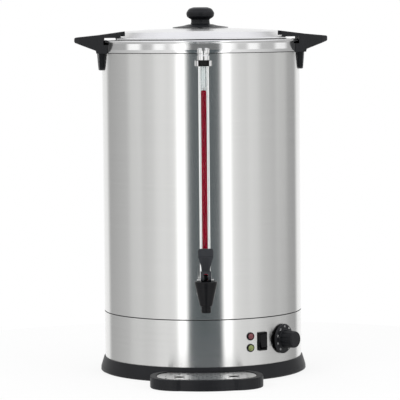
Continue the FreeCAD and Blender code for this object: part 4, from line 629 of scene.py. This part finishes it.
def studio_world():
    """White sweep for the camera, soft even light, and a ring of bright and dark cards for metal."""
    world = bpy.data.worlds.new("studio")
    bpy.context.scene.world = world
    world.use_nodes = True
    tree = world.node_tree
    tree.nodes.clear()
    output = tree.nodes.new("ShaderNodeOutputWorld")
    place = add(tree, "ShaderNodeTexCoord")
    axes = add(tree, "ShaderNodeSeparateXYZ")
    tree.links.new(place.outputs["Generated"], axes.inputs["Vector"])
    back = add(tree, "ShaderNodeMath", operation="MULTIPLY")
    back.inputs[1].default_value = -1.0
    tree.links.new(axes.outputs["Y"], back.inputs[0])
    azimuth = add(tree, "ShaderNodeMath", operation="ARCTAN2")
    tree.links.new(axes.outputs["X"], azimuth.inputs[0])
    tree.links.new(back.outputs[0], azimuth.inputs[1])
    turn = add(tree, "ShaderNodeMapRange")
    turn.inputs["From Min"].default_value = -math.pi
    turn.inputs["From Max"].default_value = math.pi
    tree.links.new(azimuth.outputs[0], turn.inputs["Value"])

    def at(degrees, colour):
        """Ramp stop at an azimuth, 0 straight in front and positive to the right."""
        return ((degrees + 180.0) / 360.0, colour)

    wide = ramp(tree, turn.outputs["Result"], [
        at(-180, grey(1.0)), at(-146, grey(1.0)), at(-138, grey(0.46)), at(-100, grey(0.62)),
        at(-50, grey(0.86)), at(-32, grey(0.95)), at(-29, grey(1.7)), at(-21, grey(1.7)),
        at(-17, DARK_STRIP), at(20, DARK_STRIP), at(24, grey(1.7)),
        at(32, grey(1.7)), at(35, grey(0.95)), at(60, grey(0.80)), at(100, grey(0.58)),
        at(138, grey(0.40)), at(146, grey(1.0)), at(180, grey(1.0)),
    ])
    cards = ramp(tree, turn.outputs["Result"], [
        at(-180, grey(0.9)), at(-146, grey(0.8)), at(-138, grey(0.42)), at(-98, grey(0.46)),
        at(-91, grey(1.3)), at(-78, grey(1.3)), at(-71, grey(0.5)), at(-60, grey(0.6)),
        at(-54, grey(1.3)), at(-46, grey(1.3)), at(-40, grey(0.75)), at(-32, grey(1.3)),
        at(-18, grey(1.5)), at(-12, grey(0.24)), at(19, grey(0.24)), at(25, grey(1.4)),
        at(36, grey(1.2)), at(43, grey(0.62)), at(52, grey(0.66)), at(57, grey(1.3)),
        at(66, grey(1.2)), at(73, grey(0.55)), at(91, grey(0.55)), at(98, grey(1.2)),
        at(112, grey(1.1)), at(120, grey(0.45)), at(140, grey(0.42)), at(150, grey(0.9)),
    ])
    height = add(tree, "ShaderNodeMath", operation="ABSOLUTE")
    tree.links.new(axes.outputs["Z"], height.inputs[0])
    level = add(tree, "ShaderNodeMapRange", interpolation_type="SMOOTHSTEP")
    level.inputs["From Min"].default_value = CARD_BAND[0]
    level.inputs["From Max"].default_value = CARD_BAND[1]
    tree.links.new(height.outputs[0], level.inputs["Value"])
    around = add(tree, "ShaderNodeMix", data_type="RGBA")
    tree.links.new(level.outputs["Result"], around.inputs["Factor"])
    tree.links.new(cards.outputs["Color"], around.inputs["A"])
    tree.links.new(wide.outputs["Color"], around.inputs["B"])
    ceiling = add(tree, "ShaderNodeMapRange", interpolation_type="SMOOTHSTEP")
    ceiling.inputs["From Min"].default_value = CEILING_BAND[0]
    ceiling.inputs["From Max"].default_value = CEILING_BAND[1]
    tree.links.new(axes.outputs["Z"], ceiling.inputs["Value"])
    overhead = add(tree, "ShaderNodeMix", data_type="RGBA")
    tree.links.new(ceiling.outputs["Result"], overhead.inputs["Factor"])
    tree.links.new(around.outputs["Result"], overhead.inputs["A"])
    overhead.inputs["B"].default_value = (1.02, 1.02, 1.06, 1)
    reflected = add(tree, "ShaderNodeBackground", Strength=1.0)
    tree.links.new(overhead.outputs["Result"], reflected.inputs["Color"])
    soft = add(tree, "ShaderNodeBackground", Strength=0.75)
    soft.inputs["Color"].default_value = (1, 1, 1, 1)
    white = add(tree, "ShaderNodeBackground", Strength=1.0)
    white.inputs["Color"].default_value = (1, 1, 1, 1)
    path = add(tree, "ShaderNodeLightPath")
    glossy = add(tree, "ShaderNodeMixShader")
    tree.links.new(path.outputs["Is Glossy Ray"], glossy.inputs["Fac"])
    tree.links.new(soft.outputs["Background"], glossy.inputs[1])
    tree.links.new(reflected.outputs["Background"], glossy.inputs[2])
    seen = add(tree, "ShaderNodeMath", operation="MAXIMUM")
    tree.links.new(path.outputs["Is Camera Ray"], seen.inputs[0])
    tree.links.new(path.outputs["Is Transmission Ray"], seen.inputs[1])
    final = add(tree, "ShaderNodeMixShader")
    tree.links.new(seen.outputs[0], final.inputs["Fac"])
    tree.links.new(glossy.outputs["Shader"], final.inputs[1])
    tree.links.new(white.outputs["Background"], final.inputs[2])
    tree.links.new(final.outputs["Shader"], output.inputs["Surface"])


def softbox(name, place, target, size, power):
    """Square area light that metal does not mirror."""
    data = bpy.data.lights.new(name, "AREA")
    data.shape = "SQUARE"
    data.size = size
    data.energy = power
    lamp = bpy.data.objects.new(name, data)
    bpy.context.scene.collection.objects.link(lamp)
    lamp.location = place
    lamp.rotation_euler = (Vector(target) - Vector(place)).to_track_quat("-Z", "Y").to_euler()
    lamp.visible_glossy = False


def camera():
    """Long lens from the photo's place, turned, lowered and rolled as the photo's was."""
    data = bpy.data.cameras.new("camera")
    data.sensor_width = SENSOR_MM
    data.lens = FOCAL_PIXELS / PHOTO_PIXELS * SENSOR_MM
    data.clip_end = 50.0
    eye = bpy.data.objects.new("camera", data)
    bpy.context.scene.collection.objects.link(eye)
    turn = math.radians(CAMERA_TURN)
    eye.location = (
        -CAMERA_DISTANCE * math.sin(turn), -CAMERA_DISTANCE * math.cos(turn), CAMERA_HEIGHT,
    )
    middle = PHOTO_PIXELS / 2
    side = math.atan((AXIS_PIXEL_X - middle) / FOCAL_PIXELS)
    drop = math.radians(CAMERA_DROP)
    look = Matrix.Rotation(-turn, 4, "Z") @ Matrix.Rotation(side, 4, "Z")
    look = look @ Matrix.Rotation(math.radians(90) - drop, 4, "X")
    look = look @ Matrix.Rotation(math.radians(-CAMERA_ROLL), 4, "Z")
    eye.rotation_euler = look.to_euler()
    bpy.context.scene.camera = eye


camera()
floor()
studio_world()
softbox("key", (-1.6, -2.0, 2.2), (0, 0, 0.3), 1.6, 26.0)
softbox("fill", (1.9, -1.6, 1.4), (0, 0, 0.3), 1.6, 16.0)
softbox("top", (0.0, 0.2, 2.4), (0, 0, 0.3), 1.8, 14.0)

dress_cad_nodes()
jacket()
collar()
dark_lines()
sight_column()
tray()
grid()
tap_cone()
print_marks()

bpy.context.scene.view_settings.view_transform = "Standard"
bpy.context.view_layer.update()
